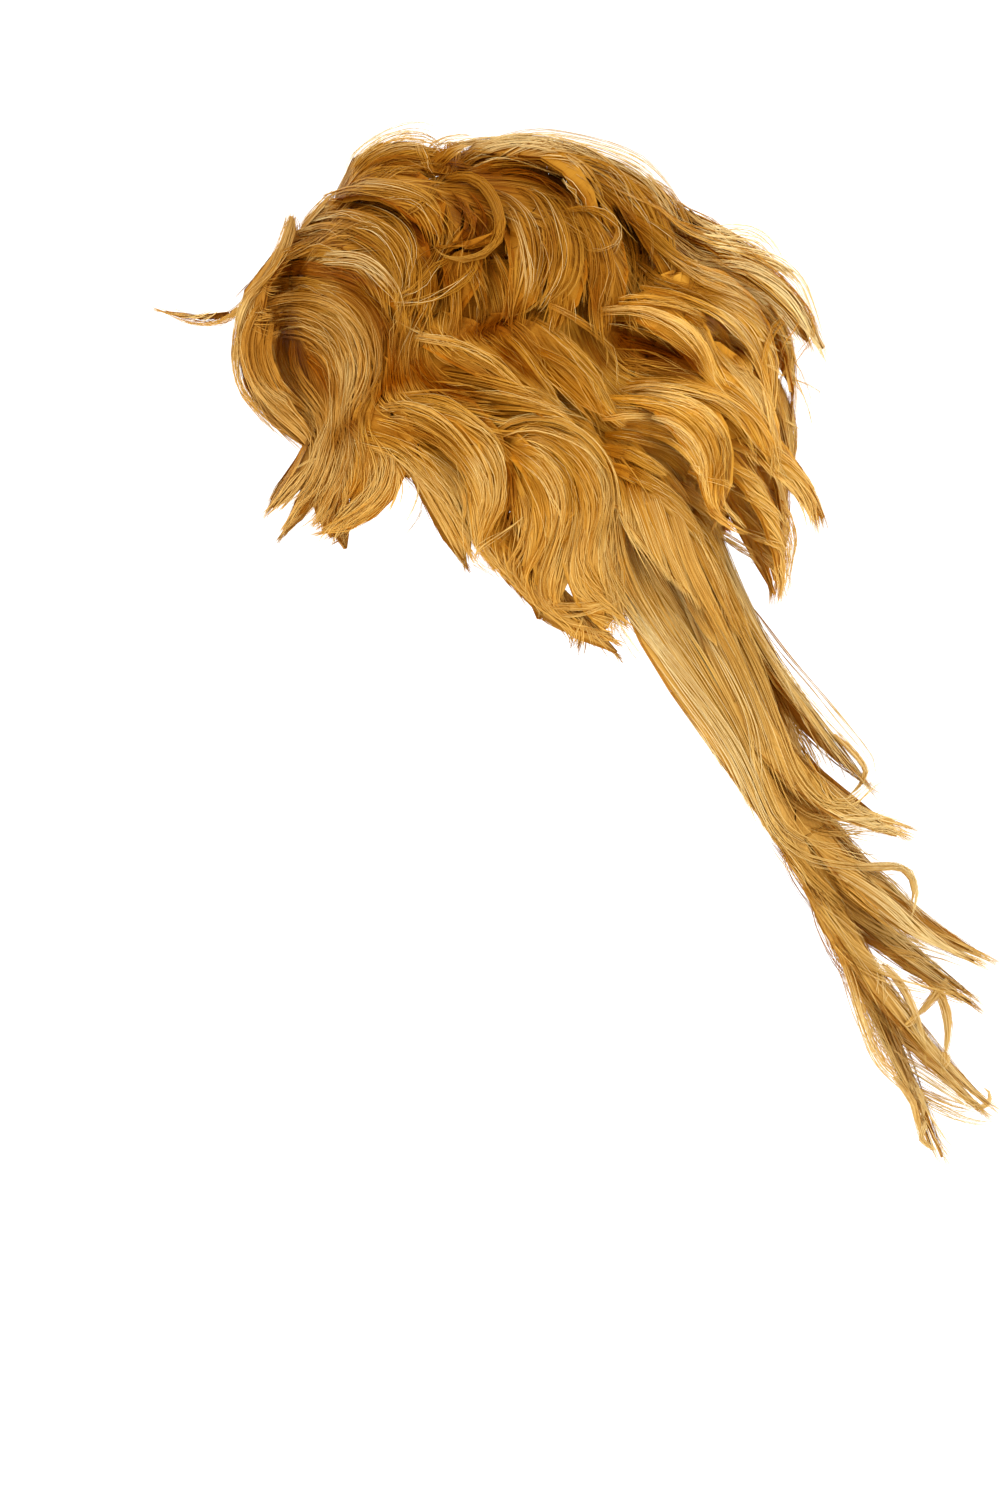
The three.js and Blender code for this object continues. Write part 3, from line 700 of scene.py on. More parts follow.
def hair_surface():
    """The outside of all the hair solids, to lay drawn locks on."""
    points, faces = [], []
    for name in MASSES:
        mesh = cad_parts[name].data
        base = len(points)
        points.extend(v.co.copy() for v in mesh.vertices)
        faces.extend([base + i for i in polygon.vertices] for polygon in mesh.polygons)
    return BVHTree.FromPolygons(points, faces)


def layer_runs(x, gap):
    """The runs of a lock that each lie on one layer, less what interrupts them for a moment."""
    runs = np.split(np.arange(len(x)), np.flatnonzero(np.abs(np.diff(x)) > gap) + 1)
    merged = []
    for run in (r for r in runs if len(r) >= LEAST_RUN):
        if merged and abs(x[merged[-1][1]] - x[run[0]]) < gap:
            first, last = merged[-1][1], run[0]
            x[first:last + 1] = np.linspace(x[first], x[last], last - first + 1)
            merged[-1][1] = run[-1]
        else:
            merged.append([run[0], run[-1]])
    return merged


def cast_on_hair(flat, surface, axis, side):
    """Which points of a lock, seen along an axis, meet the hair, how far out, and the way out there."""
    found, reach, normals = [], [], []
    for i, place in enumerate(flat):
        start, way = Vector(np.insert(place * MM, axis, side * OUTSIDE)), Vector((0, 0, 0))
        way[axis] = -side
        hit, normal, _, _ = surface.ray_cast(start, way)
        if hit is not None and side * hit[axis] > FAR_SIDE * MM:
            found.append(i)
            reach.append(side * hit[axis] / MM)
            normals.append(normal)
    return found, reach, normals


def laid_paths(flat, lock, surface, axis, side, gap):
    """A drawn lock laid on the solids: its path on each layer, and where it begins and ends there."""
    found, reach, normals = cast_on_hair(flat, surface, axis, side)
    if not found:
        return
    every = np.arange(PATH_POINTS)
    x_all = np.interp(every, found, reach)
    for i, j, a, b in zip(found[:-1], found[1:], reach[:-1], reach[1:]):
        if abs(a - b) > gap:
            x_all[i:j] = a
    out_all = np.stack([np.interp(every, found, [n[k] for n in normals]) for k in range(3)], axis=1)
    for begin, end in layer_runs(x_all, gap):
        low, high = max(0, begin - OVERRUN), min(PATH_POINTS - 1, end + OVERRUN)
        run = np.arange(low, high + 1)
        x, out = x_all[np.clip(run, begin, end)], out_all[np.clip(run, begin, end)]
        level = np.clip(np.abs(out[:, axis]), 0.05, 1)
        slope = np.maximum(LEAST_SLOPE, SURFACE_SLOPE * np.sqrt(1 - level**2) / level)
        drop = np.linalg.norm(np.diff(flat[run], axis=0), axis=1) * np.maximum(slope[1:], slope[:-1])
        for i in range(1, len(run)):
            x[i] = max(x[i], x[i - 1] - drop[i - 1])
        for i in range(len(run) - 2, -1, -1):
            x[i] = max(x[i], x[i + 1] - drop[i])
        x = softened(np.maximum(softened(x[:, None], 3), x[:, None] - 0.3), 1)[:, 0]
        outs = softened(out, 4)
        outs[:, axis] += side * LEAN
        outs = unit(outs)
        points = np.insert(flat[run], axis, side * x, axis=1)
        t = run / (PATH_POINTS - 1)
        rise = lock["lift"] - lock["sink"] * np.maximum(0, 1 - t / SINK_SHARE) ** 2
        if low:
            rise = rise - CUT_SINK * np.maximum(0, 1 - np.arange(len(run)) / CUT_STEPS) ** 2
        yield Path(points + outs * rise[:, None], outs), low, high


class Hair:
    """Collects closed tubes with a colour at each corner, and makes one mesh of them."""

    def __init__(self):
        self.points, self.colours, self.flows, self.quads, self.tris = [], [], [], [], []
        self.count = 0

    def tubes(self, rings, colours, round_way, along_way):
        """rings is (tube, ring, side, 3), and the colours and the two lengths for streaks spread to it."""
        tubes, steps, sides, _ = rings.shape
        self.points.append(rings.reshape(-1, 3))
        self.colours.append(np.broadcast_to(colours, rings.shape).reshape(-1, 3))
        own = np.broadcast_to(rng.uniform(0, 500, tubes)[:, None, None], rings.shape[:3])
        flow = np.broadcast_arrays(round_way + own, along_way, own)
        self.flows.append(np.stack(flow, axis=-1).reshape(-1, 3))
        first = self.count + np.arange(tubes) * steps * sides
        last = first + (steps - 1) * sides
        corner = first[:, None, None] + (np.arange(steps - 1) * sides)[None, :, None]
        side = np.arange(sides)[None, None, :]
        after = (side + 1) % sides
        quads = [corner + side, corner + after, corner + sides + after, corner + sides + side]
        self.quads.append(np.stack(quads, axis=-1).reshape(-1, 4))
        for k in range(1, sides - 1):
            self.tris.append(np.stack([first, first + k + 1, first + k], axis=-1))
            self.tris.append(np.stack([last, last + k, last + k + 1], axis=-1))
        self.count += tubes * steps * sides

    def shell(self, points, tris, colours, flows):
        """A closed body with triangles of its own."""
        self.points.append(points)
        self.colours.append(colours)
        self.flows.append(flows)
        self.tris.append(tris + self.count)
        self.count += len(points)

    def build(self, name, material):
        points = np.concatenate(self.points) * MM
        colours = np.clip(np.concatenate(self.colours), 0, 1)
        quads, tris = np.concatenate(self.quads), np.concatenate(self.tris)
        corners = np.concatenate([quads.ravel(), tris.ravel()])
        starts = np.concatenate([np.arange(len(quads)) * 4, len(quads) * 4 + np.arange(len(tris)) * 3])
        mesh = bpy.data.meshes.new(name)
        mesh.vertices.add(len(points))
        mesh.vertices.foreach_set("co", points.astype(np.float32).ravel())
        mesh.loops.add(len(corners))
        mesh.loops.foreach_set("vertex_index", corners.astype(np.int32))
        mesh.polygons.add(len(starts))
        mesh.polygons.foreach_set("loop_start", starts.astype(np.int32))
        mesh.polygons.foreach_set("use_smooth", np.arange(len(starts)) >= len(quads))
        mesh.update(calc_edges=True)
        mesh.validate()
        layer = mesh.color_attributes.new("hair", "FLOAT_COLOR", "POINT")
        rgba = np.concatenate([colours, np.ones((len(colours), 1))], axis=1)
        layer.data.foreach_set("color", rgba.astype(np.float32).ravel())
        flow = mesh.attributes.new("flow", "FLOAT_VECTOR", "POINT")
        flow.data.foreach_set("vector", np.concatenate(self.flows).astype(np.float32).ravel())
        mesh.materials.append(material)
        obj = bpy.data.objects.new(name, mesh)
        bpy.context.collection.objects.link(obj)
        return obj


def hair_colour(t, tone, palette):
    """Colour at t along a strand: root to tip, deeper where tone is under 1 and paler where it is over 1;
    these tones carry painted highlight and shade as well as the hair's own tone.
    """
    t, tone = np.broadcast_arrays(np.asarray(t, float), np.asarray(tone, float))
    t, tone = t[..., None], tone[..., None]
    root, length, tip, pale = (np.array(c) for c in palette)
    colour = root + (length - root) * smooth(t, 0.0, 0.5)
    colour = colour + (tip - colour) * smooth(t, 0.5, 1.0)
    darker = np.array(DEEP_SHADE_COLOUR) + (colour - DEEP_SHADE_COLOUR) * np.clip((tone - DEEP_TONE) / (1 - DEEP_TONE), 0, 1)
    return darker + (pale - darker) * np.clip((tone - 1) / (PALE_TONE - 1), 0, 1)


def shaded_below(colour, out):
    """Painted shade: the colour, less yellow and pale where the hair faces down, as on its shaded underside.
    """
    below = smooth(-out[..., 2:], -0.1, 0.7)
    return colour * (1 - below * np.array([0, 0.14, 0.45]))


def add_tubes(hair, middle, across, out, radius, roll, colour, along_way, flat):
    """Flat tubes along the rows of middle, thinning to the tip."""
    sides = np.arange(STRAND_SIDES)[None, None, :]
    taper = np.interp(np.linspace(0, 1, middle.shape[1]), *STRAND_TAPER)
    angle = roll[:, None, None] + 2 * np.pi * sides / STRAND_SIDES
    size = (radius[:, None] * taper[None, :])[..., None]
    ring = (
        middle[:, :, None]
        + across[:, :, None] * (size * np.cos(angle))[..., None]
        + out[:, :, None] * (size * flat * np.sin(angle))[..., None]
    )
    hair.tubes(ring, colour[:, :, None, :], radius[:, None, None] * sides, along_way[:, :, None])


def add_core(hair, path, size, tone, palette):
    """The body of a drawn lock: a thin pointed blade under its strands."""
    t = np.linspace(0, CORE_END, CORE_RINGS)
    centre, across, out = path.at(t)
    part = np.arange(CORE_SIDES) / CORE_SIDES
    angle = 2 * np.pi * part
    full = np.interp(t / CORE_END, *CORE_FULLNESS)[:, None]
    ring = (
        (centre - out * size[1] * CORE_DROP)[:, None]
        + across[:, None] * (size[0] / 2 * full * np.cos(angle))[..., None]
        + out[:, None] * (size[1] / 2 * full * np.sin(angle))[..., None]
    )
    colour = hair_colour(t[:, None], tone * rng.uniform(0.9, 1.04, CORE_SIDES)[None, :], palette)
    round_way = (part * size[0] * 2)[None, None, :]
    hair.tubes(ring[None], colour[None], round_way, (t * path.length)[None, :, None])


def add_strands(hair, path, size, count, clumps, tone, palette, fine, gather):
    """Strands that ride on a lock and draw together into a few points at its end."""
    steps = int(np.clip(path.length / STRAND_RING, *STRAND_RINGS)) + 1
    # the points that the lock ends in, and the strand's place a across the lock and b above it
    centre_a = np.linspace(-0.8, 0.8, clumps) if clumps > 1 else np.zeros(1)
    centre_a = centre_a + rng.uniform(-0.15, 0.15, clumps)
    clump_reach = rng.uniform(*LOCK_REACH, clumps)
    clump_tone = rng.uniform(0.95, 1.04, clumps)
    clump_splay = rng.normal(0, LOCK_SPLAY, clumps)
    clump_lift = rng.normal(0.05, LOCK_SPLAY, clumps)
    a = rng.uniform(-1, 1, count)
    which = np.argmin(np.abs(a[:, None] - centre_a[None, :]), axis=1)
    under = rng.random(count) < UNDER_SHARE
    b = np.where(under, -rng.uniform(0.4, 1, count), 1.05 * rng.uniform(0.5, 1, count))
    b = np.sqrt(1 - a**2 * 0.96) * b
    fly = rng.random(count) < FLY_SHARE
    # where each strand begins and ends along the lock
    end = clump_reach[which] * rng.uniform(0.84, 1.0, count)
    begin = np.where(rng.random(count) < LATE_SHARE, rng.uniform(0, LATE_START, count), 0) * end
    t = begin[:, None] + (end - begin)[:, None] * np.linspace(0, 1, steps)[None, :]
    centre, across, out = path.at(t)
    draw = smooth(t, 0.3, 1.05) * gather
    full = np.interp(t, *LOCK_FULLNESS)
    own_a = a[:, None] * (1 - draw) + centre_a[which][:, None] * draw
    own_b = b[:, None] * (1 - draw) + 0.4 * draw
    late = np.clip((t - 0.45) / 0.55, 0, 1.3) ** 2
    sideways = own_a * size[0] / 2 * full + clump_splay[which][:, None] * late * size[0]
    lift = own_b * size[1] / 2 * full + clump_lift[which][:, None] * late * size[1]
    # how it wavers
    phase = rng.uniform(0, 2 * np.pi, (count, 3))
    rate = rng.uniform(0.8, 2.6, (count, 2))
    waver = FRIZZ * np.where(fly, 4.5, 1.0)[:, None] * (0.4 + 0.9 * t)
    sideways = sideways + waver * np.sin(2 * np.pi * rate[:, :1] * t + phase[:, :1])
    lift = lift + 0.7 * waver * np.sin(2 * np.pi * rate[:, 1:] * t + phase[:, 1:2])
    lift = lift + np.where(fly, rng.uniform(0.3, 1.8, count), 0)[:, None] * smooth(t, 0.1, 0.7)
    middle = centre + across * sideways[..., None] + out * lift[..., None]
    own_tone = np.interp(t, np.linspace(0, 1, len(tone)), tone)
    # strands on the underside of a lock are painted darker, as shade under it
    shade = clump_tone[which] * rng.uniform(0.92, 1.06, count) * np.where(b < 0, 0.88, 1)
    # loose hairs painted lighter for the light that shines through them
    loose = np.where(fly, FLY_LIGHT, 0)[:, None]
    # painted shade where the strand faces down
    colour = shaded_below(hair_colour(t, own_tone * shade[:, None] + loose, palette), out)
    radius = np.where(fly | fine, FLY_RADIUS, STRAND_RADIUS * rng.uniform(0.7, 1.2, count))
    add_tubes(hair, middle, across, out, radius, phase[:, 2], colour, t * path.length, STRAND_FLAT)


def add_lock(hair, lock, path, tone, dense, palette, tip):
    """The body and the strands of a drawn lock."""
    width = lock["width"] * DRAWN_UNIT
    clumps = int(lock["clumps"]) or max(2, round(width / POINT_WIDTH))
    size = (width * 1.1, width * lock["depth"])
    fine = lock["width"] <= FINE_WIDTH
    # a few loose hairs, painted lighter for the light that shines through them
    if fine:
        tone = tone + 0.5 * FLY_LIGHT
    if lock["body"]:
        core = (size[0] * lock["body"], size[1] * CORE_DEPTH)
        add_core(hair, path, core, tone.mean() * CORE_TONE, palette)
    count = int(width * dense) + 3
    add_strands(hair, path, size, count, clumps, tone, palette, fine, GATHER if tip else CUT_GATHER)


class Flow:
    """Which way the drawn locks run and how light they are, on a grid over the side view."""

    def __init__(self, surface):
        grid = np.zeros((*GRID_CELLS, 4))
        for locks in DRAWN.values():
            for lock in locks:
                yz = side_view(lock["points"])
                way = unit(np.gradient(yz, axis=0))
                weight = lock["width"] if lock["sink"] else LOOSE_WEIGHT
                ones = np.ones((len(yz), 1))
                row = np.concatenate([way, ones * lock["tone"], ones], axis=1)
                cell = ((yz - GRID_LOW) / GRID + 0.5).astype(int)
                np.add.at(grid, (cell[:, 0], cell[:, 1]), row * weight)
        total = self.blurred(grid, 2) + 0.02 * self.blurred(grid, 9) + 1e-5 * self.blurred(grid, 30)
        self.way = unit(total[..., :2])
        # painted highlight and shade of the bands, and painted light through thin hair
        self.light = self.bands() + self.glow_through_thin(surface)
        lock_tone = total[..., 2] / np.maximum(total[..., 3], 1e-12)
        self.tone = 1 + LOCK_CONTRAST * (lock_tone - 1) + self.light
        self.across = self.stream(self.way)

    @staticmethod
    def bands():
        """How much painted highlight or painted shade the bands give each cell."""
        cells = np.stack(np.meshgrid(*(np.arange(n) for n in GRID_CELLS), indexing="ij"), axis=-1)
        cells = cells * GRID + GRID_LOW
        light = np.zeros(GRID_CELLS)
        for amount, width, points, _ in read_rows(BANDS):
            middle = side_view(points, BAND_POINTS)
            gap = np.min([np.sum((cells - place) ** 2, axis=-1) for place in middle], axis=0)
            light += amount * np.exp(-gap / (width * DRAWN_UNIT) ** 2)
        return light

    @classmethod
    def glow_through_thin(cls, surface):
        """Painted light: how much lighter each cell is for the light that shines through the little hair
        there is to see through.
        """
        thick = np.zeros(GRID_CELLS)
        aside = Vector((-1, 0, 0))
        for i, j in np.ndindex(*GRID_CELLS):
            y, z = GRID_LOW + GRID * np.array([i, j])
            start, entered = OUTSIDE, None
            while True:
                place, normal, _, _ = surface.ray_cast(Vector((start, y * MM, z * MM)), aside)
                if place is None:
                    break
                if normal.x < 0 and entered is not None:
                    thick[i, j] += (entered - place.x) / MM
                    entered = None
                elif normal.x > 0 and entered is None:
                    entered = place.x
                start = place.x - 1e-5
        return cls.blurred((EDGE_LIGHT * (1 - smooth(thick, 0, EDGE_THICK)))[..., None], 1)[..., 0]

    @staticmethod
    def stream(way):
        """A height for each cell, level along the way the hair runs, for streaks that follow it."""
        wave = [2j * np.pi * np.fft.fftfreq(n, GRID) for n in way.shape[:2]]
        a, b = np.meshgrid(*wave, indexing="ij")
        square = a * a + b * b
        square[0, 0] = 1
        slope = [np.fft.fft2(-way[..., 1]), np.fft.fft2(way[..., 0])]
        return np.real(np.fft.ifft2((a * slope[0] + b * slope[1]) / square))

    @staticmethod
    def blurred(grid, reach):
        for axis in (0, 1):
            turned = np.moveaxis(grid, axis, 0)
            flat = softened(turned.reshape(len(turned), -1), reach)
            grid = np.moveaxis(flat.reshape(turned.shape), 0, axis)
        return grid

    @staticmethod
    def read(yz, *grids):
        """The values of the grids at each place, blended between cells."""
        place = np.clip((yz - GRID_LOW) / GRID, 0, np.array(GRID_CELLS) - 1.001)
        cell = place.astype(int)
        part = place - cell
        values = [0] * len(grids)
        for i in (0, 1):
            for j in (0, 1):
                share = np.abs(1 - i - part[:, 0]) * np.abs(1 - j - part[:, 1])
                for k, grid in enumerate(grids):
                    corner = grid[cell[:, 0] + i, cell[:, 1] + j]
                    values[k] = values[k] + share.reshape((-1,) + (1,) * (corner.ndim - 1)) * corner
        return values


def solid_arrays(name):
    """Corner points in millimetres, triangles and the triangles' normals, as long as twice their areas."""
    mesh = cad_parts[name].data
    mesh.calc_loop_triangles()
    points = np.array([v.co for v in mesh.vertices]) / MM
    tris = np.array([t.vertices[:] for t in mesh.loop_triangles])
    cross = np.cross(points[tris[:, 1]] - points[tris[:, 0]], points[tris[:, 2]] - points[tris[:, 0]])
    return points, tris, cross


def add_shell(hair, name, surface, flow, palette):
    """The body under the strands: the solid itself, a little thinner, and very thin at the tips."""
    points, tris, cross = solid_arrays(name)
    normals = np.zeros_like(points)
    for k in range(3):
        np.add.at(normals, tris[:, k], cross)
    normals = unit(normals)
    tone, across = flow.read(points[:, 1:], flow.tone, flow.across)
    inset, most = [], []
    for point, normal in zip(points, normals):
        start = Vector((point - normal * 0.05) * MM)
        place, _, _, depth = surface.ray_cast(start, Vector(-normal), THIN_TO * MM)
        depth = THIN_TO if place is None else depth / MM
        thin = 1 - smooth(depth, THIN_FROM, THIN_TO)
        inset.append(SHELL_INSET + (THIN_INSET * depth - SHELL_INSET) * thin)
        most.append(1 + THIN_TONE * thin)
    # painted shade where the body faces down
    colour = shaded_below(hair_colour(SHELL_T, np.minimum(tone, most) * SHELL_TONE, palette), normals)
    streaks = np.stack([across + points[:, 0], points[:, 2], np.zeros(len(points))], axis=1)
    hair.shell(points - normals * np.array(inset)[:, None], tris, colour, streaks)


def open_points(name, count, surface):
    """Points spread over the outside of a solid, with the way out at each."""
    points, tris, cross = solid_arrays(name)
    area = np.linalg.norm(cross, axis=1)
    normals = unit(cross)
    kept, ways = [], []
    for face in rng.choice(len(area), count * TRIES, p=area / area.sum()):
        u, v = rng.random(2)
        if u + v > 1:
            u, v = 1 - u, 1 - v
        a, b, c = points[tris[face]]
        point = a * (1 - u - v) + b * u + c * v
        way = normals[face]
        if name != "tail" and way @ outward(point[None])[0] < -0.3:
            continue
        start = Vector((point + way * 0.5) * MM)
        aside = Vector((math.copysign(1, way[0]), 0, 0))
        if surface.ray_cast(start, Vector(way), 0.03)[0] is not None:
            if abs(way[0]) < 0.15 or surface.ray_cast(start, aside)[0] is not None:
                continue
        kept.append(point)
        ways.append(way)
        if len(kept) == count:
            break
    return np.array(kept), np.array(ways)


def field_tracks(points, ways, step, surface, flow):
    """Tracks over a solid that run as the drawn locks run: places, ways out, tones and steps taken."""
    count = len(points)
    run, tone = flow.read(points[:, 1:], flow.way, flow.tone)
    track, outs, tones = [points], [ways], [tone]
    last, free = np.zeros(count), np.zeros(count)
    going = np.ones(count, bool)
    heading = None
    for k in range(FIELD_STEPS):
        aim = np.concatenate([np.zeros((count, 1)), unit(run)], axis=1)
        aim = unit(aim - ways * np.sum(aim * ways, axis=1, keepdims=True))
        heading = aim if heading is None else unit(heading + aim)
        ahead, turned = points + heading * step, ways.copy()
        for i in np.flatnonzero(going):
            place, normal, _, gap = surface.find_nearest(Vector(ahead[i] * MM), BRIDGE * MM)
            if place is None:
                going[i] = False
                continue
            pull = np.array(place) / MM - ahead[i]
            gap = gap / MM
            passed = gap > 1 and pull @ heading[i] < -0.6 * gap
            if passed or normal.dot(Vector(ways[i])) < 0.1:
                free[i] += 1
                going[i] = free[i] < FREE_STEPS
            else:
                ahead[i] += pull * min(1, SETTLE / max(gap, 0.01))
                if gap < SETTLE:
                    turned[i] = 0.6 * ways[i] + 0.4 * np.array(normal)
            last[i] = k + 1
        points, ways = ahead, unit(turned)
        run, tone = flow.read(points[:, 1:], flow.way, flow.tone)
        track.append(points)
        outs.append(ways)
        tones.append(tone)
    kept = last >= LEAST_STEPS
    return (*(np.stack(rows, axis=1)[kept] for rows in (track, outs, tones)), last[kept])


def add_field(hair, name, count, length, surface, flow, palette):
    """Strands that lie on a solid and run as the drawn locks run."""
    points, ways = open_points(name, count, surface)
    step = length * rng.uniform(0.7, 1.2, len(points))[:, None] / FIELD_STEPS
    track, outs, tones, last = field_tracks(points, ways, step, surface, flow)
    count = len(last)
    along = np.linspace(0, 1, FIELD_RINGS)[None, :] * last[:, None]
    cell = np.minimum(along.astype(int), FIELD_STEPS - 1)
    part = along - cell
    rows = np.arange(count)[:, None]

    def read(values):
        share = part.reshape(part.shape + (1,) * (values.ndim - 2))
        return values[rows, cell] * (1 - share) + values[rows, cell + 1] * share

    middle, out, tone = read(track), unit(read(outs)), read(tones)
    for _ in range(2):
        middle[:, 1:-1] = 0.5 * middle[:, 1:-1] + 0.25 * (middle[:, :-2] + middle[:, 2:])
    way = unit(np.gradient(middle, axis=1))
    out = unit(out - way * np.sum(out * way, axis=-1, keepdims=True))
    across = np.cross(way, out)
    t = np.linspace(0, 1, FIELD_RINGS)[None, :]
    fly = rng.random(count) < FLY_SHARE
    phase = rng.uniform(0, 2 * np.pi, (count, 2))
    waver = np.where(fly, 4.0, 1.0)[:, None] * FRIZZ * (0.4 + 0.6 * t)
    sideways = waver * np.sin(4 * t + phase[:, :1])
    rise = rng.uniform(0, 0.8, count)[:, None] * np.sin(np.pi * np.clip(0.1 + 0.8 * t, 0, 1)) - 0.3
    rise = rise + np.where(fly, rng.uniform(0.5, 4, count), 0)[:, None] * t
    middle = middle + across * sideways[..., None] + out * rise[..., None]
    # loose hairs painted lighter for the light that shines through them
    shade = rng.uniform(0.91, 1.07, count)[:, None] + np.where(fly, FLY_LIGHT, 0)[:, None]
    colour = hair_colour(rng.uniform(0.2, 0.6, count)[:, None] + 0.3 * t, tone * shade, palette)
    radius = np.where(fly, FLY_RADIUS, FIELD_RADIUS * rng.uniform(0.6, 1.2, count))
    run = t * (last / FIELD_STEPS * length)[:, None]
    roll = np.full(count, -np.pi / 2)
    # painted shade where the strands face down
    add_tubes(hair, middle, across, out, radius, roll, shaded_below(colour, out), run, FIELD_FLAT)


def set_inputs(node, **values):
    """Sets inputs of a node by name, with an underscore for each space."""
    for name, value in values.items():
        node.inputs[name.replace("_", " ")].default_value = value


def new_material(name):
    """A node material, with its nodes, its links and its shader."""
    material = bpy.data.materials.new(name)
    material.use_nodes = True
    tree = material.node_tree
    return material, tree.nodes, tree.links, tree.nodes["Principled BSDF"]


def hair_material():
    """Silky fibre: the lock's colour, its own tone with painted highlight and shade, streaked along its
    length, deeper in painted shade between the locks, with a soft golden gloss.
    """
    material, nodes, links, shader = new_material("hair_fibre")
    colour = nodes.new("ShaderNodeVertexColor")
    colour.layer_name = "hair"
    # streaks along the strands
    flow = nodes.new("ShaderNodeAttribute")
    flow.attribute_name = "flow"
    stretch = nodes.new("ShaderNodeVectorMath")
    stretch.operation = "MULTIPLY"
    stretch.inputs[1].default_value = (2.2, 0.03, 1.0)
    noise = nodes.new("ShaderNodeTexNoise")
    set_inputs(noise, Scale=1.0, Detail=3)
    streak = nodes.new("ShaderNodeMapRange")
    set_inputs(streak, From_Min=0.3, From_Max=0.7, To_Min=0.84, To_Max=1.06)
    scaled = nodes.new("ShaderNodeVectorMath")
    scaled.operation = "SCALE"
    bump = nodes.new("ShaderNodeBump")
    set_inputs(bump, Strength=0.5, Distance=0.0004)
    # painted shade: a darker, richer colour between the locks, where they shade each other
    depth = nodes.new("ShaderNodeAmbientOcclusion")
    depth.samples = 4
    set_inputs(depth, Distance=0.02)
    occlusion_shade = nodes.new("ShaderNodeMapRange")
    set_inputs(occlusion_shade, From_Min=0.2, From_Max=0.9, To_Min=1.5, To_Max=1.0)
    rich = nodes.new("ShaderNodeGamma")
    links.new(flow.outputs["Vector"], stretch.inputs[0])
    links.new(stretch.outputs["Vector"], noise.inputs["Vector"])
    links.new(noise.outputs["Fac"], streak.inputs["Value"])
    links.new(noise.outputs["Fac"], bump.inputs["Height"])
    links.new(colour.outputs["Color"], scaled.inputs[0])
    links.new(streak.outputs["Result"], scaled.inputs["Scale"])
    links.new(scaled.outputs["Vector"], rich.inputs["Color"])
    links.new(depth.outputs["AO"], occlusion_shade.inputs["Value"])
    links.new(occlusion_shade.outputs["Result"], rich.inputs["Gamma"])
    links.new(rich.outputs["Color"], shader.inputs["Base Color"])
    links.new(bump.outputs["Normal"], shader.inputs["Normal"])
    set_inputs(shader, Roughness=0.45, Metallic=0.1, IOR=1.1)
    set_inputs(shader, Specular_IOR_Level=0.3, Specular_Tint=(1.0, 0.65, 0.15, 1))
    return material


def cap_material():
    """Knitted stretch net: a fine mesh in a brown a little darker than the roots."""
    material, nodes, links, shader = new_material("cap_net")
    coords = nodes.new("ShaderNodeTexCoord")
    cells = nodes.new("ShaderNodeTexVoronoi")
    set_inputs(cells, Scale=420)
    ramp = nodes.new("ShaderNodeValToRGB")
    ramp.color_ramp.elements[0].color = (0.10, 0.055, 0.02, 1)
    ramp.color_ramp.elements[1].color = (0.30, 0.17, 0.06, 1)
    ramp.color_ramp.elements[1].position = 0.6
    bump = nodes.new("ShaderNodeBump")
    set_inputs(bump, Strength=0.4, Distance=0.0006)
    links.new(coords.outputs["Object"], cells.inputs["Vector"])
    links.new(cells.outputs["Distance"], ramp.inputs["Fac"])
    links.new(cells.outputs["Distance"], bump.inputs["Height"])
    links.new(ramp.outputs["Color"], shader.inputs["Base Color"])
    links.new(bump.outputs["Normal"], shader.inputs["Normal"])
    set_inputs(shader, Roughness=0.85)
    return material


def lock_stray(name, lock, side):
    """How far a lock strays at its tip and midway: on the right alone, not up or forward off the hair."""
    if side == LEFT or lock["clumps"] == 1:
        return np.zeros((2, 2))
    stray = rng.normal(0, STRAY, (2, 2))
    if name == "crown":
        stray[:, 1] = -np.abs(stray[:, 1])
    if name == "fringe":
        stray[:, 0] = np.abs(stray[:, 0])
    return stray


def back_locks():
    """Waves down the back of the head, which the drawing doesn't show, drawn as if on a view from behind."""
    for k in range(BACK_LOCKS):
        x = CROWN_ON_DRAWING[0] + BACK_WIDTH * ((k + 0.5) / BACK_LOCKS - 0.5) + rng.normal(0, 4)
        z = rng.choice(BACK_ROWS) + rng.uniform(-20, 20)
        length, sway = rng.uniform(90, 150), rng.normal(0, 9)
        points = [(x + sway * math.sin(5 * s), z + length * s) for s in np.linspace(0, 1, 6)]
        yield LOCK_DEFAULTS | dict(width=13, tone=rng.uniform(0.85, 1.1), points=points, sink=3, lift=1.0)


def build_mass(name, settings, material, surface, flow):
    """One piece of hair: its body, the strands that lie on it and its drawn locks."""
    hair = Hair()
    palette = settings["palette"]
    add_shell(hair, name, surface, flow, palette)
    add_field(hair, name, *settings["field"], surface, flow, palette)
    t = np.linspace(0, 1, PATH_POINTS)[:, None]
    for side, dense in settings["dense"].items():
        for lock in DRAWN[settings["table"]]:
            at_tip, midway = lock_stray(name, lock, side)
            places = side_view(lock["points"])
            # the lock's tone, with its painted highlight and shade, and those of the grid
            tone = 1 + LOCK_CONTRAST * (lock["tone"] - 1) + flow.read(places, flow.light)[0]
            flat = places + at_tip * t + midway * np.sin(np.pi * t)
            gap = math.inf if lock["span"] else LAYER_GAP
            for path, low, high in laid_paths(flat, lock, surface, 0, side, gap):
                add_lock(hair, lock, path, tone[low:high + 1], dense, palette, high == PATH_POINTS - 1)
    if name == "back_layers":
        for lock in back_locks():
            for path, low, high in laid_paths(side_view(lock["points"]), lock, surface, 1, 1, BACK_GAP):
                add_lock(hair, lock, path, np.full(high + 1 - low, lock["tone"]), BACK_DENSE, palette, True)
    obj = hair.build(name + "_hair", material)
    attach(obj, "root")
    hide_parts(name)


fibre = hair_material()
outside = hair_surface()
runs = Flow(outside)
for mass_name, mass_settings in MASSES.items():
    build_mass(mass_name, mass_settings, fibre, outside, runs)
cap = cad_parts["wig_cap"]
cap.data.materials.clear()
cap.data.materials.append(cap_material())

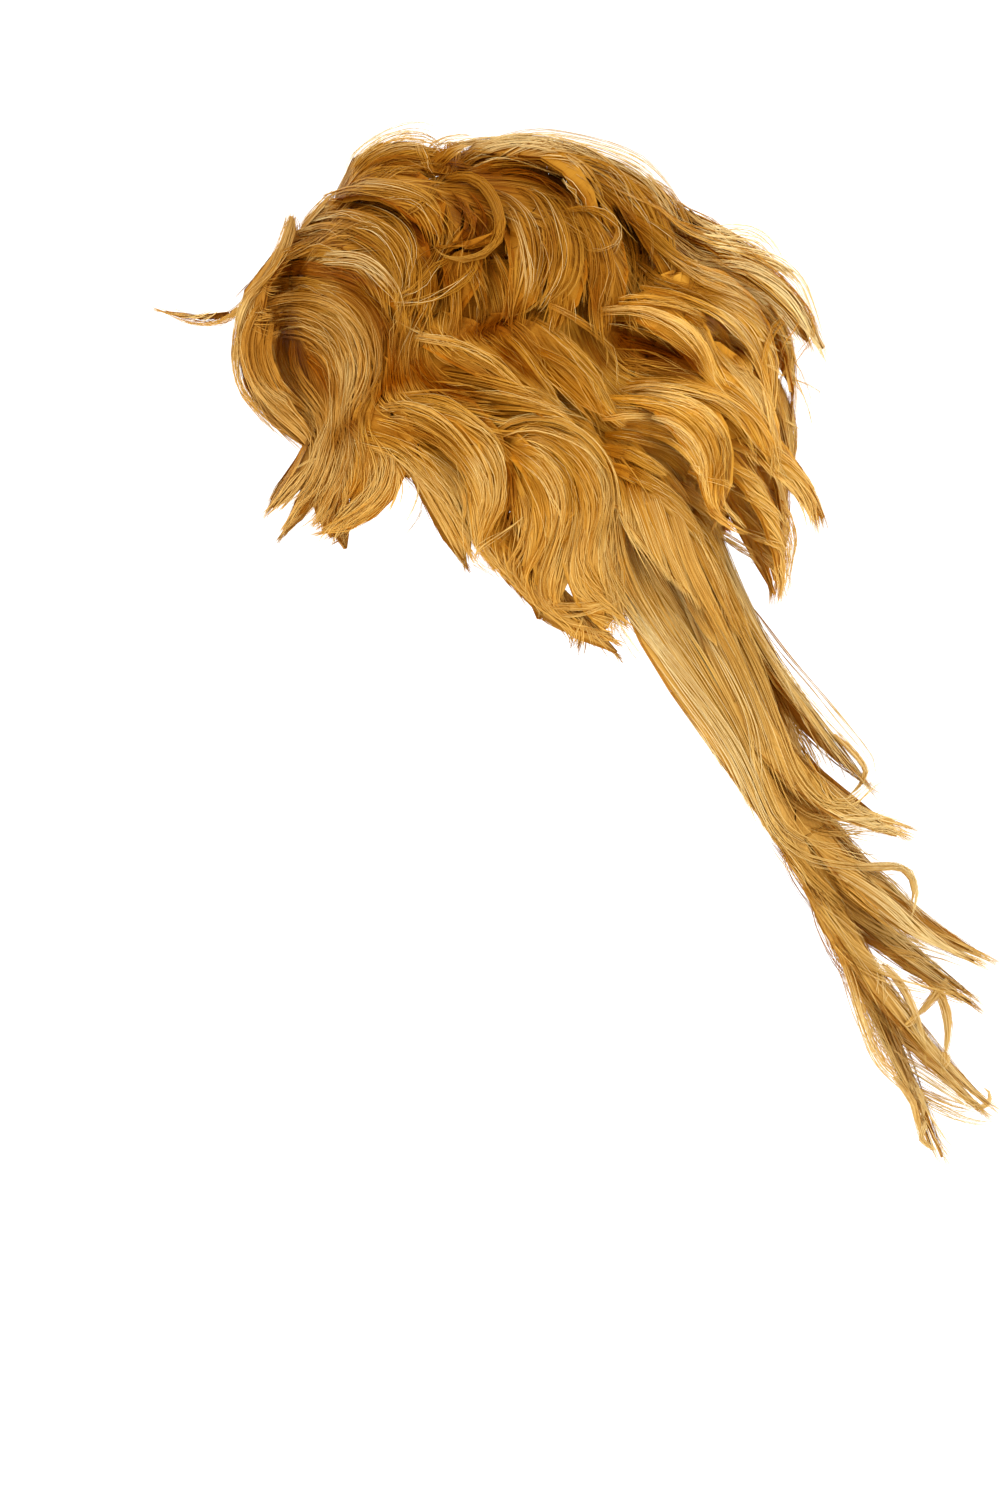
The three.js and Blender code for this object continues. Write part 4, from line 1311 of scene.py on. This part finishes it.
# Studio
FLOOR_Z, FLOOR_HALF = -0.62, 6.0
WORLD_LIGHT = 1.36
LIGHTS_AIM = Vector((0, 0.03, -0.15))
LIGHTS = {  # place, size and power
    "key": ((1.7, -1.0, 1.8), 1.2, 26),
    "fill": ((2.2, 1.4, 0.4), 1.6, 14),
    "back": ((-1.4, 1.6, 1.1), 1.2, 12),
    "far_side": ((-2.0, -1.0, 0.6), 1.6, 12),
    "under": ((1.6, -0.4, -0.5), 1.2, 6),
}
FRAME_HEIGHT = 0.75
CAMERA_DISTANCE = 8.0
SENSOR = 36
VIEW_CENTRE = Vector((0.05, 0.005, -0.26))


def floor():
    mesh = bpy.data.meshes.new("floor")
    corners = [(-1, -1), (1, -1), (1, 1), (-1, 1)]
    mesh.from_pydata([(x * FLOOR_HALF, y * FLOOR_HALF, 0) for x, y in corners], [], [(0, 1, 2, 3)])
    obj = bpy.data.objects.new("floor", mesh)
    obj.location.z = FLOOR_Z
    bpy.context.collection.objects.link(obj)
    material, _, _, shader = new_material("floor_pale")
    set_inputs(shader, Base_Color=(0.92, 0.92, 0.92, 1), Roughness=0.9)
    mesh.materials.append(material)


def area_light(name, place, size, power):
    data = bpy.data.lights.new(name, "AREA")
    data.shape = "SQUARE"
    data.size = size
    data.energy = power
    obj = bpy.data.objects.new(name, data)
    obj.location = place
    obj.rotation_euler = (LIGHTS_AIM - Vector(place)).to_track_quat("-Z", "Y").to_euler()
    bpy.context.collection.objects.link(obj)


floor()
for light_name, light in LIGHTS.items():
    area_light(light_name, *light)

scene = bpy.context.scene
world = bpy.data.worlds.new("studio")
scene.world = world
world.use_nodes = True
set_inputs(world.node_tree.nodes["Background"], Color=(1, 1, 1, 1), Strength=WORLD_LIGHT)
scene.view_settings.view_transform = "Standard"

camera = bpy.data.objects.new("camera", bpy.data.cameras.new("camera"))
camera.data.lens = SENSOR * (CAMERA_DISTANCE - VIEW_CENTRE.x) / FRAME_HEIGHT
camera.data.sensor_width = SENSOR
camera.location = (CAMERA_DISTANCE, VIEW_CENTRE.y, VIEW_CENTRE.z)
camera.rotation_euler = (math.radians(90), 0, math.radians(90))
camera.data.clip_end = 100
bpy.context.collection.objects.link(camera)
scene.camera = camera
